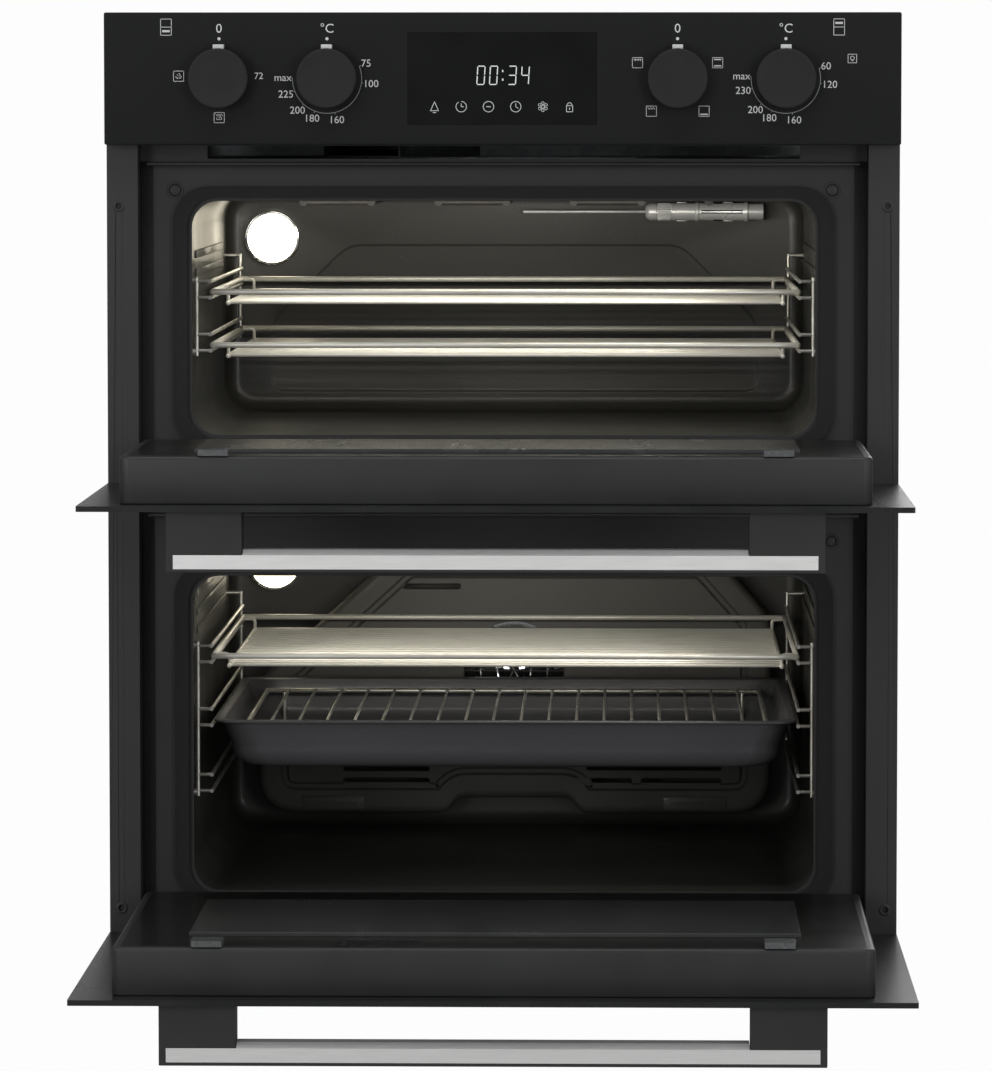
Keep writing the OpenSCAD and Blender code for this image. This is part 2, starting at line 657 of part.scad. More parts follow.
// ---- Mains connection ----
terminal_w = 60;
module terminal_block() color("#e8e5dc") {
  x0 = gland_x - gland_r - terminal_w - 10;
  back = body_depth - skin;
  block(x0, back - 30, gland_z - 17, x0 + terminal_w, back, gland_z + 17);
  for (i = [1:3]) rod_z(x0 + i * terminal_w / 4, back - 15, gland_z + 17 - eps, gland_z + 22, 5);
}
gland_bore_r = 5;
module cable_gland() color("#18191a") difference() {
  union() {
    rod_y(gland_x, body_depth - 14, body_depth - skin, gland_z, gland_r);
    rod_y(gland_x, body_depth - skin - eps, body_depth, gland_z, gland_r - 2);
  }
  rod_y(gland_x, body_depth - 20, body_depth + 5, gland_z, gland_bore_r);
}

// ---- Hinges ----
// A nose no thicker than the space behind the door glass, with a taller bar going into the body
module hinge_arm(z) {
  nose = hinge_in - glass_t - 0.8;
  translate([0, pin_y, z]) {
    plate_x(arm_x, arm_t) {
      circle(r = nose);
      translate([0, -nose]) square([hinge_up + 12, 2 * nose]);
      translate([hinge_up + 4, -arm_h]) square([arm_depth, 2 * arm_h]);
    }
    rod_x(cheek_x - 1, cheek_x + 2 * cheek_t + arm_t + 2 * arm_gap + 1, 0, 0, pin_r);
  }
}
module hinge_arms() color("#8b8e91") both_sides() for (z = [lower_pin_z, upper_pin_z]) hinge_arm(z);

module hinge_receivers() color("#7d8083") both_sides() for (z = [lower_pin_z, upper_pin_z]) difference() {
  arm_end = pin_y + hinge_up + 4 + arm_depth;
  block(arm_x - 2.5, frame_back, z - arm_h - 2, arm_x + arm_t + 2.5, arm_end + 2, z + arm_h + 2);
  block(arm_x - 0.5, frame_back - 1, z - arm_h - 0.5, arm_x + arm_t + 0.5, arm_end, z + arm_h + 0.5);
}

// ---- Doors ----
module folded(z) translate([0, pin_y, z]) rotate([90, 0, 0]) children();

module door_glass(h) color("#0b0c0e")
  plate_y(glass_front, glass_t) polygon(round_box(-half_w, -hinge_up, half_w, h - hinge_up, 1.5));

// Inner pane's lower and upper edge above the hinge pins
upper_pane = [upper_sill + upper_pane_low, upper_door_h - hinge_up - upper_head - upper_pane_head];
lower_pane = [lower_sill + lower_pane_low, lower_door_h - hinge_up - lower_head - lower_pane_head];
pane_x = mouth_x - pane_side;

// Pressed box behind the glass, with a window for the inner pane and two cheeks on each hinge pin
module door_box(h, pane) color("#313233") {
  high = h - hinge_up - box_inset;
  difference() {
    plate_y(glass_back, box_back - glass_back) polygon(round_box(-box_x, box_low, box_x, high, 4));
    block(-box_x + box_sheet, glass_back - 1, box_low + box_sheet, box_x - box_sheet, box_back - box_sheet,
      high - box_sheet);
    block(seat - pane_x, 0, pane[0] + seat, pane_x - seat, box_back + 5, pane[1] - seat);
    both_sides() block(cheek_x - 1, glass_back - 1, box_low - 1, box_x - box_sheet, box_back - box_sheet,
      box_low + box_sheet + 1);
  }
  both_sides() for (x = [cheek_x, cheek_x + cheek_t + arm_t + 2 * arm_gap]) plate_x(x, cheek_t) difference() {
    union() {
      translate([glass_back + 0.2, -6]) square([8 - glass_back, box_low + 7]);
      translate([glass_back + 0.2, box_low]) square([box_back - box_sheet - glass_back - 0.2 + eps, 60]);
    }
    circle(r = pin_r + play, $fn = 48);
  }
}

module inner_glass(pane) color("#2a2d2e")
  block(-pane_x, box_back, pane[0], pane_x, box_back + inner_t, pane[1]);

// Spring catches at the top of the box, clear of the closed door's seal
module glass_clips(h, head) color("#c8cacc") both_sides() {
  high = h - hinge_up - box_inset;
  clip_h = min(22, head - seal_rise * seal_out - box_inset - 0.8);
  block(handle_w / 2 - 44, box_back, high - clip_h, handle_w / 2 - 22, box_back + seal_gap - 1, high);
}

// Posts, ends and face of the handle: one dark moulding open at the top and bottom
module handle_housing(h) color("#1b1c1d") {
  high = h - hinge_up - handle_drop;
  x = handle_w / 2;
  bar = glass_front - handle_reach;
  both_sides() {
    block(x - post_w, bar, high - handle_t, x, glass_front, high);
    block(x - 2 * housing_t, bar - bar_d, high - handle_t, x, bar + eps, high);
  }
  block(-x, bar - bar_d - housing_t, high - handle_t, x, bar - bar_d, high);
}

module handle_bar(h) color("#c9cbcd") {
  high = h - hinge_up - handle_drop;
  x = handle_w / 2 - 2 * housing_t;
  bar = glass_front - handle_reach;
  block(-x, bar - bar_d, high - handle_t, x, bar, high);
  plate_x(-handle_w / 2 + post_w + 0.5, handle_w - 2 * post_w - 1)
    polygon([[bar - eps, high], [bar + 4, high - 4], [bar + 4, high - handle_t + 4],
      [bar - eps, high - handle_t]]);
}

module upper_door_glass() folded(upper_pin_z) door_glass(upper_door_h);
module upper_door_box() folded(upper_pin_z) door_box(upper_door_h, upper_pane);
module upper_inner_glass() folded(upper_pin_z) inner_glass(upper_pane);
module upper_glass_clips() folded(upper_pin_z) glass_clips(upper_door_h, upper_head);
module upper_handle_housing() folded(upper_pin_z) handle_housing(upper_door_h);
module upper_handle_bar() folded(upper_pin_z) handle_bar(upper_door_h);
module lower_door_glass() folded(lower_pin_z) door_glass(lower_door_h);
module lower_door_box() folded(lower_pin_z) door_box(lower_door_h, lower_pane);
module lower_inner_glass() folded(lower_pin_z) inner_glass(lower_pane);
module lower_glass_clips() folded(lower_pin_z) glass_clips(lower_door_h, lower_head);
module lower_handle_housing() folded(lower_pin_z) handle_housing(lower_door_h);
module lower_handle_bar() folded(lower_pin_z) handle_bar(lower_door_h);

base_panel();
left_side_panel();
right_side_panel();
top_panel();
rear_panel();
air_deck();
left_column();
right_column();
front_frame();
air_guides();
frame_plugs();
control_fascia();
display_window();
display_module();
rotary_switches();
left_function_knob();
left_temperature_knob();
right_function_knob();
right_temperature_knob();
upper_muffle();
lower_muffle();
upper_door_seal();
lower_door_seal();
glass_wool();
lamp_lenses();
lamp_holders();
grill_element();
base_elements();
ring_element();
temperature_probe();
fan_cover();
convection_fan();
fan_motor();
upper_left_rack();
upper_right_rack();
lower_left_rack();
lower_right_rack();
upper_shelf();
middle_shelf();
lower_shelf();
roasting_pan();
pan_trivet();
blower_housing();
blower_impeller();
terminal_block();
cable_gland();
hinge_arms();
hinge_receivers();
upper_door_glass();
upper_door_box();
upper_inner_glass();
upper_glass_clips();
upper_handle_housing();
upper_handle_bar();
lower_door_glass();
lower_door_box();
lower_inner_glass();
lower_glass_clips();
lower_handle_housing();
lower_handle_bar();
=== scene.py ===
import json
import math

import bmesh
import bpy
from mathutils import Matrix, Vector


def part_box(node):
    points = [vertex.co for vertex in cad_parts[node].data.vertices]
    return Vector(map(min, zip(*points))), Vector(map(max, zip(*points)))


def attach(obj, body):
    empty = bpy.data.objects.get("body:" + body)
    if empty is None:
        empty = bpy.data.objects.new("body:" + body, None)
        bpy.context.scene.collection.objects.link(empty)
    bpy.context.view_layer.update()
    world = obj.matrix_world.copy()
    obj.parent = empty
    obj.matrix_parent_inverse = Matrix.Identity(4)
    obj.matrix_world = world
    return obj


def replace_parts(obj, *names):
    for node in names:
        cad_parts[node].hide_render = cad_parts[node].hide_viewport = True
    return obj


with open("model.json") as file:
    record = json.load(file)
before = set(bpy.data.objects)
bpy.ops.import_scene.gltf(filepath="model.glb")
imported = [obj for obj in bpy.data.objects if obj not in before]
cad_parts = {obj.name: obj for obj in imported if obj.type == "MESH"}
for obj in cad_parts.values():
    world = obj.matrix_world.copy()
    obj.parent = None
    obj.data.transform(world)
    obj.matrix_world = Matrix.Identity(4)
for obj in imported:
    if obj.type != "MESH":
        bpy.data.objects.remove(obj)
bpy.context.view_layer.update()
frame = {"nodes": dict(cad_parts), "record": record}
nodes = frame["nodes"]
mm = 0.001


# camera
cameraView = {
    "place": (93.6, -4318.75, 643.6),  # mm
    "pitch": 3.85,  # degrees down
    "yaw": 1.2,
    "lens": 193.63,
    "shift": (-0.0102, -0.0343),
}
camera = bpy.data.objects.new("camera", bpy.data.cameras.new("camera"))
bpy.context.collection.objects.link(camera)
camera.location = [v * mm for v in cameraView["place"]]
camera.rotation_euler = [math.radians(a) for a in (90 - cameraView["pitch"], 0, cameraView["yaw"])]
camera.data.lens = cameraView["lens"]
camera.data.sensor_width = 36
camera.data.shift_x, camera.data.shift_y = cameraView["shift"]
camera.data.clip_end = 50
bpy.context.scene.camera = camera
bpy.context.scene.view_settings.view_transform = "Standard"
print("camera done")


def linear(hexColour):
    values = [int(hexColour[i:i + 2], 16) / 255 for i in (1, 3, 5)]
    return tuple(v / 12.92 if v <= 0.04045 else ((v + 0.055) / 1.055) ** 2.4 for v in values) + (1,)


def feed(tree, node, inputs):
    # each input is a constant, a socket to link, or a node whose first output is linked
    for name, value in inputs.items():
        if isinstance(value, bpy.types.Node):
            value = value.outputs[0]
        if isinstance(value, bpy.types.NodeSocket):
            tree.links.new(value, node.inputs[name])
        else:
            node.inputs[name].default_value = value


def addNode(tree, kind, inputs=None, **settings):
    made = tree.nodes.new("ShaderNode" + kind)
    for name, value in settings.items():
        setattr(made, name, value)
    feed(tree, made, inputs or {})
    return made


# light; the glows stand for what the lamps throw on the cavity walls
studio = {
    "backdrop": "#FDFDFE",
    "ambient": 0.2,
    "lights": [  # name, place, aim, width and height in metres, watts
        ("softboxLeft", (-2.6, -1.6, 1.4), (0, 0, 0.4), (1.2, 2.0), 16),
        ("softboxRight", (2.8, -1.3, 1.2), (0, 0, 0.4), (1.2, 2.0), 13),
        ("softboxTop", (0.1, -1.0, 2.6), (0, -0.1, 0.3), (2.2, 1.2), 20),
        ("fillFrontLeft", (-1.5, -3.2, 0.8), (0, 0.1, 0.35), (0.8, 1.3), 17),
        ("fillFrontRight", (1.6, -3.2, 0.8), (0, 0.1, 0.35), (0.8, 1.3), 17),
        ("fillBack", (0.6, 3.0, 1.8), (0, 0.5, 0.4), (2.4, 1.6), 50),
        ("upperGlow", (-0.03, 0.072, 0.556), (0, 0.45, 0.45), (0.40, 0.02), 0.5),
        ("lowerGlow", (-0.03, 0.072, 0.286), (0, 0.42, 0.12), (0.40, 0.02), 0.3),
    ],
    "glowColour": "#FFFAEE",
}
world = bpy.data.worlds.new("studio")
bpy.context.scene.world = world
world.use_nodes = True
skyTree = world.node_tree
skyTree.nodes.clear()
seen = addNode(skyTree, "LightPath")
bright = addNode(skyTree, "Background", {"Color": linear(studio["backdrop"]), "Strength": 1.0})
dim = addNode(skyTree, "Background", {"Color": (1, 1, 1, 1), "Strength": studio["ambient"]})
skyMix = addNode(skyTree, "MixShader", {0: seen.outputs["Is Camera Ray"], 1: dim, 2: bright})
addNode(skyTree, "OutputWorld", {"Surface": skyMix})

for name, place, aim, size, power in studio["lights"]:
    data = bpy.data.lights.new(name, "AREA")
    data.shape = "RECTANGLE"
    data.size, data.size_y = size
    data.energy = power
    if "Glow" in name:
        data.color = linear(studio["glowColour"])[:3]
    lamp = bpy.data.objects.new(name, data)
    lamp.location = place
    lamp.visible_camera = False
    lamp.rotation_euler = (Vector(aim) - Vector(place)).to_track_quat("-Z", "Y").to_euler()
    bpy.context.collection.objects.link(lamp)


# materials
usual = {"From Min": 0.35, "From Max": 0.65}  # where most of a noise texture's values lie


def startMaterial(name, colour, roughness, metallic=0.0, **sockets):
    # also gives the object's own coordinates, in metres
    made = bpy.data.materials.new(name)
    made.use_nodes = True
    tree = made.node_tree
    shader = tree.nodes["Principled BSDF"]
    feed(tree, shader, {"Base Color": linear(colour), "Roughness": roughness, "Metallic": metallic})
    feed(tree, shader, {socket.replace("_", " "): value for socket, value in sockets.items()})
    return made, tree, shader, addNode(tree, "TexCoord").outputs["Object"]


def dress(tree, shader, share, colours, gloss=None, relief=None):
    # mixes two colours by share; gloss is a pattern with the least and most roughness, relief one with
    # its strength and its depth in mm
    tone = addNode(tree, "Mix", {0: share, 6: linear(colours[0]), 7: linear(colours[1])}, data_type="RGBA")
    feed(tree, shader, {"Base Color": tone.outputs[2]})
    if gloss:
        pattern, least, most = gloss
        feed(tree, shader, {"Roughness": addNode(tree, "MapRange", {"Value": pattern, **usual,
                                                                    "To Min": least, "To Max": most})})
    if relief:
        pattern, strength, depth = relief
        feed(tree, shader, {"Normal": addNode(tree, "Bump", {"Height": pattern, "Strength": strength,
                                                             "Distance": depth * mm})})


def powderCoat(name, colour, lighter, grain=0.9, roughness=0.42, bump=0.12, shine=0.5, cloud=70):
    # polyester powder on sheet steel: satin, a fine orange peel, slow drifts of tone; grain, cloud in mm
    made, tree, shader, place = startMaterial(name, colour, roughness, Specular_IOR_Level=shine)
    peel = addNode(tree, "TexNoise", {"Vector": place, "Scale": 1 / (grain * mm), "Detail": 3})
    drift = addNode(tree, "TexNoise", {"Vector": place, "Scale": 1 / (cloud * mm), "Detail": 4})
    share = addNode(tree, "MapRange", {"Value": drift, **usual})
    dress(tree, shader, share, (colour, lighter), (drift, roughness - 0.05, roughness + 0.06),
          (peel, bump, 0.15))
    return made


def vitreousEnamel(name, colour, speck, fleck=1.3, roughness=0.2, coat=0.35, patch=9, wave=24, haze=120):
    # fired enamel: glassy, slightly wavy, with pale flecks in patches on a dark ground; sizes in mm
    made, tree, shader, place = startMaterial(name, colour, roughness, Coat_Weight=coat, Coat_Roughness=0.12)
    cells = addNode(tree, "TexVoronoi", {"Vector": place, "Scale": 1 / (fleck * 2.2 * mm), "Randomness": 1.0})
    dots = addNode(tree, "MapRange", {"Value": cells.outputs["Distance"], "From Min": 0.10, "From Max": 0.17,
                                      "To Min": 1, "To Max": 0})
    patches = addNode(tree, "TexNoise", {"Vector": place, "Scale": 1 / (patch * mm), "Detail": 2})
    chance = addNode(tree, "MapRange", {"Value": patches, "From Min": 0.5, "From Max": 0.62})
    some = addNode(tree, "Math", {0: dots, 1: chance}, operation="MULTIPLY")
    smoke = addNode(tree, "TexNoise", {"Vector": place, "Scale": 1 / (haze * mm), "Detail": 3})
    waves = addNode(tree, "TexNoise", {"Vector": place, "Scale": 1 / (wave * mm), "Detail": 2})
    dress(tree, shader, some, (colour, speck), (smoke, roughness - 0.04, roughness + 0.1),
          (waves, 0.12, 0.5))
    return made


def galvanisedSteel(name, colour, lighter, spangle=7):
    # hot-dip zinc: dull grey metal in leaf-like crystals; spangle in mm
    made, tree, shader, place = startMaterial(name, colour, 0.5, 0.75)
    leaves = addNode(tree, "TexVoronoi", {"Vector": place, "Scale": 1 / (spangle * mm)},
                     distance="CHEBYCHEV")
    each = addNode(tree, "SeparateColor", {0: leaves.outputs["Color"]})  # three numbers for each crystal
    dress(tree, shader, each, (colour, lighter), relief=(each.outputs[2], 0.05, 0.1))
    gloss = addNode(tree, "MapRange", {"Value": each.outputs[1], "To Min": 0.48, "To Max": 0.6})
    feed(tree, shader, {"Roughness": gloss})
    return made


def platedWire(name, colour, roughness=0.2, stain="#A8A18C", metallic=1.0, heat=28, draw=15):
    # nickel and chrome over drawn steel wire: clear shine, slightly browned by heat; heat in mm
    # the draw marks are far too fine to show, so they are drawn 15 mm long, as a slow change of gloss
    made, tree, shader, place = startMaterial(name, colour, roughness, metallic)
    warmth = addNode(tree, "TexNoise", {"Vector": place, "Scale": 1 / (heat * mm), "Detail": 4})
    share = addNode(tree, "MapRange", {"Value": warmth, "From Min": 0.5, "From Max": 0.85})
    marks = addNode(tree, "TexNoise", {"Vector": place, "Scale": 1 / (draw * mm), "Detail": 1})
    dress(tree, shader, share, (colour, stain), (marks, roughness - 0.03, roughness + 0.04))
    return made


def brushedAluminium(name, colour, lighter, lineLength=30, lineWidth=0.35):
    # anodised after fine brushing along its length: straight streaks, a satin shine across them; mm
    made, tree, shader, place = startMaterial(name, colour, 0.36, 0.66, Anisotropic=0.4)
    along = addNode(tree, "Mapping", {"Vector": place, "Scale": (lineWidth / lineLength, 1, 1)})
    lines = addNode(tree, "TexNoise", {"Vector": along, "Scale": 1 / (lineWidth * mm), "Detail": 5})
    share = addNode(tree, "MapRange", {"Value": lines, **usual})
    dress(tree, shader, share, (colour, lighter), (lines, 0.36, 0.44), (lines, 0.1, 0.05))
    return made


def mouldedPlastic(name, colour, lighter, grain=0.5, roughness=0.45, bump=0.1, shine=0.5, flow=40):
    # glass-filled polyamide from a spark-eroded mould: even satin, very fine grain; grain, flow in mm
    made, tree, shader, place = startMaterial(name, colour, roughness, Specular_IOR_Level=shine)
    spark = addNode(tree, "TexNoise", {"Vector": place, "Scale": 1 / (grain * mm), "Detail": 4})
    swirl = addNode(tree, "TexNoise", {"Vector": place, "Scale": 1 / (flow * mm), "Detail": 2})
    share = addNode(tree, "MapRange", {"Value": swirl, **usual})
    dress(tree, shader, share, (colour, lighter), (spark, roughness - 0.04, roughness + 0.06),
          (spark, bump, 0.06))
    return made


def printedGlass(name, colour, lighter, roughness=0.08, shine=0.5, wipe=60):
    # float glass with black enamel fired on its back: soft gloss, faint wipe marks; wipe in mm
    made, tree, shader, place = startMaterial(name, colour, roughness, Specular_IOR_Level=shine, IOR=1.5)
    along = addNode(tree, "Mapping", {"Vector": place, "Scale": (1, 0.25, 1)})
    marks = addNode(tree, "TexNoise", {"Vector": along, "Scale": 1 / (wipe * mm), "Detail": 4})
    share = addNode(tree, "MapRange", {"Value": marks, **usual})
    dress(tree, shader, share, (colour, lighter), (marks, roughness, roughness + 0.06))
    return made


def siliconeRubber(name, colour, dusty, dust=3):
    # extruded silicone seal: matt and slightly dusty; dust in mm
    made, tree, shader, place = startMaterial(name, colour, 0.75, Sheen_Weight=0.03)
    specks = addNode(tree, "TexNoise", {"Vector": place, "Scale": 1 / (dust * mm), "Detail": 5})
    share = addNode(tree, "MapRange", {"Value": specks, "From Min": 0.5, "From Max": 0.8})
    dress(tree, shader, share, (colour, dusty), relief=(specks, 0.15, 0.1))
    return made


def blottedMatt(name, colour, other, blot, roughness=0.75, bump=0.2, metallic=0.0):
    # rough fired, woven or heat-tinted stuff in two tones; blot in mm
    made, tree, shader, place = startMaterial(name, colour, roughness, metallic)
    blots = addNode(tree, "TexNoise", {"Vector": place, "Scale": 1 / (blot * mm), "Detail": 6})
    share = addNode(tree, "MapRange", {"Value": blots, **usual})
    dress(tree, shader, share, (colour, other), relief=(blots, bump, 0.3))
    return made


def litSegment(name, colour, strength):
    # a light-emitting segment behind dark glass: even, cool white, no texture of its own
    made, tree, shader, place = startMaterial(name, colour, 0.3, Emission_Strength=strength)
    feed(tree, shader, {"Emission Color": linear(colour)})
    return made


def litGlass(name, colour, strength, rib=2.4):
    # pressed borosilicate lens over a lit halogen lamp: fine rings, white hot; rib in mm
    made, tree, shader, place = startMaterial(name, "#FFFFFF", 0.12, Emission_Strength=strength)
    rings = addNode(tree, "TexWave", {"Vector": place, "Scale": 1 / (rib * 3 * mm)},
                    wave_type="RINGS", rings_direction="Y")
    relief = addNode(tree, "Bump", {"Height": rings.outputs[1], "Strength": 0.2, "Distance": 0.2 * mm})
    feed(tree, shader, {"Emission Color": linear(colour), "Normal": relief})
    return made


steelPaint = powderCoat("powderCoatedSteel", "#272728", "#2B2B2C", roughness=0.5)
fasciaPaint = powderCoat("fasciaCoat", "#131415", "#161718", 0.5, 0.6, 0.06, shine=0.22)
boxPaint = powderCoat("doorBoxCoat", "#262627", "#292A2A", 0.6, 0.45, 0.06)
cavityEnamel = vitreousEnamel("cavityEnamel", "#3C3C38", "#615F56", roughness=0.42, coat=0.12)
panEnamel = vitreousEnamel("panEnamel", "#57575A", "#7F8084", fleck=0.9, roughness=0.4, coat=0.15)
coverEnamel = vitreousEnamel("coverEnamel", "#5C5B56", "#76746C", roughness=0.45, coat=0.1)
bandEnamel = vitreousEnamel("blackBandEnamel", "#141414", "#1B1B1B", roughness=0.3, coat=0.2)
zincSheet = galvanisedSteel("galvanisedSheet", "#888B8D", "#9C9FA1")
zincPart = galvanisedSteel("zincPlatedSteel", "#7F8284", "#989B9D", spangle=3)
clipSteel = galvanisedSteel("clipSpringSteel", "#5C5E5F", "#6E7071", spangle=2)
chromeWire = platedWire("chromedWire", "#E9E7DF", 0.36, metallic=0.85)
shelfWire = platedWire("satinShelfWire", "#F0EDE2", 0.32, "#DDDACC", 0.28)
probeChrome = platedWire("probeChrome", "#F4F5F5", 0.3, "#DCDDDD", 0.35)
chromePolish = platedWire("polishedChrome", "#E6E7E8", 0.1, "#C9C9C6")
handleAluminium = brushedAluminium("brushedAluminium", "#F1F1F0", "#F8F8F7")
darkPlastic = mouldedPlastic("blackPolyamide", "#222223", "#262627", roughness=0.5)
knobPlastic = mouldedPlastic("knobPolyamide", "#1D1D1D", "#212121", roughness=0.55, shine=0.3)
plugPlastic = mouldedPlastic("plugPolyamide", "#2A2A2B", "#2E2E2E", roughness=0.5)
palePlastic = mouldedPlastic("ivoryPolyamide", "#CFCBBE", "#DAD6CB")
boardGreen = mouldedPlastic("circuitBoard", "#14432A", "#1B5436", roughness=0.35)
doorGlass = printedGlass("blackDoorGlass", "#1D1E1E", "#222323", roughness=0.22)
windowGlass = printedGlass("displayGlass", "#0A0B0B", "#0D0E0E", roughness=0.3, shine=0.2)
paneGlass = printedGlass("tintedInnerGlass", "#3B3C3C", "#424343", roughness=0.22)
sealRubber = siliconeRubber("siliconeSeal", "#0D0D0D", "#1A1A1A")
woolMat = blottedMatt("mineralWool", "#B8A05A", "#D8C98F", 4, roughness=0.95, bump=0.6)
ceramicMat = blottedMatt("steatite", "#D2CCBE", "#E2DDD0", 2, roughness=0.6)
elementSteel = blottedMatt("heatTintedSteel", "#131211", "#1C1917", 12, roughness=0.6, metallic=0.5)
lampGlass = litGlass("litLampGlass", "#FFF4D8", 3.8)
inkWhite = mouldedPlastic("whiteInk", "#CFD0D0", "#D8D9D9", roughness=0.6, bump=0.02)
inkDim = mouldedPlastic("greyInk", "#9C9EA0", "#A5A7A9", roughness=0.6, bump=0.02)
litDigits = litSegment("litDigits", "#C9CECE", 0.5)
litSigns = litSegment("litSigns", "#B4B8B8", 0.34)

knobNodes = [side + "_" + dial + "_knob" for side in ("left", "right")
             for dial in ("function", "temperature")]
nodeMaterials = {  # CAD nodes by material
    steelPaint: "base_panel left_column right_column front_frame air_guides",
    fasciaPaint: "control_fascia",
    boxPaint: "upper_door_box lower_door_box",
    windowGlass: "display_window",
    boardGreen: "display_module",
    palePlastic: "rotary_switches terminal_block",
    knobPlastic: " ".join(knobNodes),
    darkPlastic: "upper_handle_housing lower_handle_housing cable_gland",
    cavityEnamel: "upper_muffle lower_muffle fan_cover",
    sealRubber: "upper_door_seal lower_door_seal frame_plugs",
    woolMat: "glass_wool",
    lampGlass: "lamp_lenses",
    ceramicMat: "lamp_holders",
    elementSteel: "grill_element base_elements ring_element",
    chromePolish: "temperature_probe convection_fan",
    chromeWire: "upper_left_rack upper_right_rack lower_left_rack lower_right_rack upper_shelf "
                "middle_shelf lower_shelf pan_trivet",
    panEnamel: "roasting_pan",
    zincPart: "fan_motor blower_impeller hinge_arms hinge_receivers",
    clipSteel: "upper_glass_clips lower_glass_clips",
    zincSheet: "left_side_panel right_side_panel top_panel rear_panel air_deck blower_housing",
    doorGlass: "upper_door_glass lower_door_glass",
    paneGlass: "upper_inner_glass lower_inner_glass",
    handleAluminium: "upper_handle_bar lower_handle_bar",
}
for material, names in nodeMaterials.items():
    for name in names.split():
        nodes[name].data.materials.clear()
        nodes[name].data.materials.append(material)
print("materials done")


# mesh helpers; lengths in mm unless a comment says metres
def softenEdges(name, width, segments=3, angle=35):
    # rounds a CAD node's edges by a bevel, without touching its own vertices
    piece = nodes[name]
    weld = piece.modifiers.new("weld", "WELD")
    weld.merge_threshold = 0.002 * mm
    bevel = piece.modifiers.new("bevel", "BEVEL")
    bevel.width = width * mm
    bevel.segments = segments
    bevel.limit_method = "ANGLE"
    bevel.angle_limit = math.radians(angle)
    bevel.harden_normals = True


def makePiece(name, mesh, material, body, smooth=True):
    if isinstance(mesh, bmesh.types.BMesh):
        bmesh.ops.recalc_face_normals(mesh, faces=mesh.faces)
        data = bpy.data.meshes.new(name)
        mesh.to_mesh(data)
        mesh.free()
    else:
        data = mesh
    data.materials.clear()
    data.materials.append(material)
    piece = bpy.data.objects.new(name, data)
    bpy.context.collection.objects.link(piece)
    if smooth:
        data.polygons.foreach_set("use_smooth", [True] * len(data.polygons))
        data.set_sharp_from_angle(angle=math.radians(38))
    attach(piece, body)
    return piece


def span(name):
    # lowest and highest corner of a CAD node
    low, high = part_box(name)
    return [v / mm for v in low], [v / mm for v in high]


def quarter(steps):
    return [math.pi / 2 * i / steps for i in range(steps + 1)]


def circle(count):
    return [2 * math.pi * i / count for i in range(count)]


def roundedBox(w, h, r, steps=8):
    # points of a rounded rectangle about 0, counter-clockwise; w and h are half its sides
    points = []
    for cx, cz, start in ((w - r, r - h, -90), (w - r, h - r, 0), (r - w, h - r, 90), (r - w, r - h, 180)):
        for i in range(steps + 1):
            a = math.radians(start + 90 * i / steps)
            points.append((cx + r * math.cos(a), cz + r * math.sin(a)))
    return points


def boxRing(w, h, r, middle, level, steps=8, flat=False):
    # the rounded rectangle in metres: upright at y = level, or flat at z = level
    points = [(x * mm, (v + middle) * mm) for x, v in roundedBox(w, h, r, steps)]
    return [(x, v, level * mm) if flat else (x, level * mm, v) for x, v in points]


def roundCorner(before, corner, after, radius, most, steps):
    # a curve in place of a corner, which takes no more than that share of either side
    inward, outward = before - corner, after - corner
    reach = min(radius, inward.length * most, outward.length * most)
    start, end = corner + inward.normalized() * reach, corner + outward.normalized() * reach
    shares = [i / steps for i in range(steps + 1)]
    return [start.lerp(corner, t).lerp(corner.lerp(end, t), t) for t in shares]


def roundedOutline(points, radii, steps=5):
    # a closed outline, its corners rounded by one radius or by one each
    path = [Vector((p[0], p[1], 0)) for p in points]
    if not isinstance(radii, list):
        radii = [radii] * len(path)
    curves = [roundCorner(path[i - 1], corner, path[(i + 1) % len(path)], radii[i], 0.45, steps)
              for i, corner in enumerate(path)]
    return [(q.x, q.y) for curve in curves for q in curve]


def shrunk(outline, distance):
    # the outline moved inwards
    count = len(outline)
    area = sum(outline[i][0] * outline[(i + 1) % count][1] - outline[(i + 1) % count][0] * outline[i][1]
               for i in range(count))
    turn = 1 if area > 0 else -1
    moved = []
    for i in range(count):
        a, b, c = Vector(outline[i - 1]), Vector(outline[i]), Vector(outline[(i + 1) % count])
        along = (c - b).normalized() + (b - a).normalized()
        along = along.normalized() if along.length > 1e-6 else (c - b).normalized()
        moved.append((b.x - along.y * turn * distance, b.y + along.x * turn * distance))
    return moved


def outlineRing(mesh, outline, y):
    return [mesh.verts.new((p[0] * mm, y * mm, p[1] * mm)) for p in outline]


def bridge(mesh, a, b):
    for i in range(len(a)):
        j = (i + 1) % len(a)
        mesh.faces.new((a[i], a[j], b[j], b[i]))


def loft(mesh, rings, closeStart=False, closeEnd=False):
    # joins rings of as many points each; every ring is a closed loop of points in metres
    rows = [[mesh.verts.new(p) for p in ring] for ring in rings]
    for a, b in zip(rows, rows[1:]):
        bridge(mesh, a, b)
    if closeStart:
        mesh.faces.new(list(reversed(rows[0])))
    if closeEnd:
        mesh.faces.new(rows[-1])
    return rows


def fillBetween(mesh, loops):
    # a flat face from the first loop to the holes that the others are
    edges = []
    for loop in loops:
        for pair in zip(loop, loop[1:] + loop[:1]):
            edges.append(mesh.edges.get(pair) or mesh.edges.new(pair))
    bmesh.ops.triangle_fill(mesh, use_beauty=True, use_dissolve=False, edges=edges)


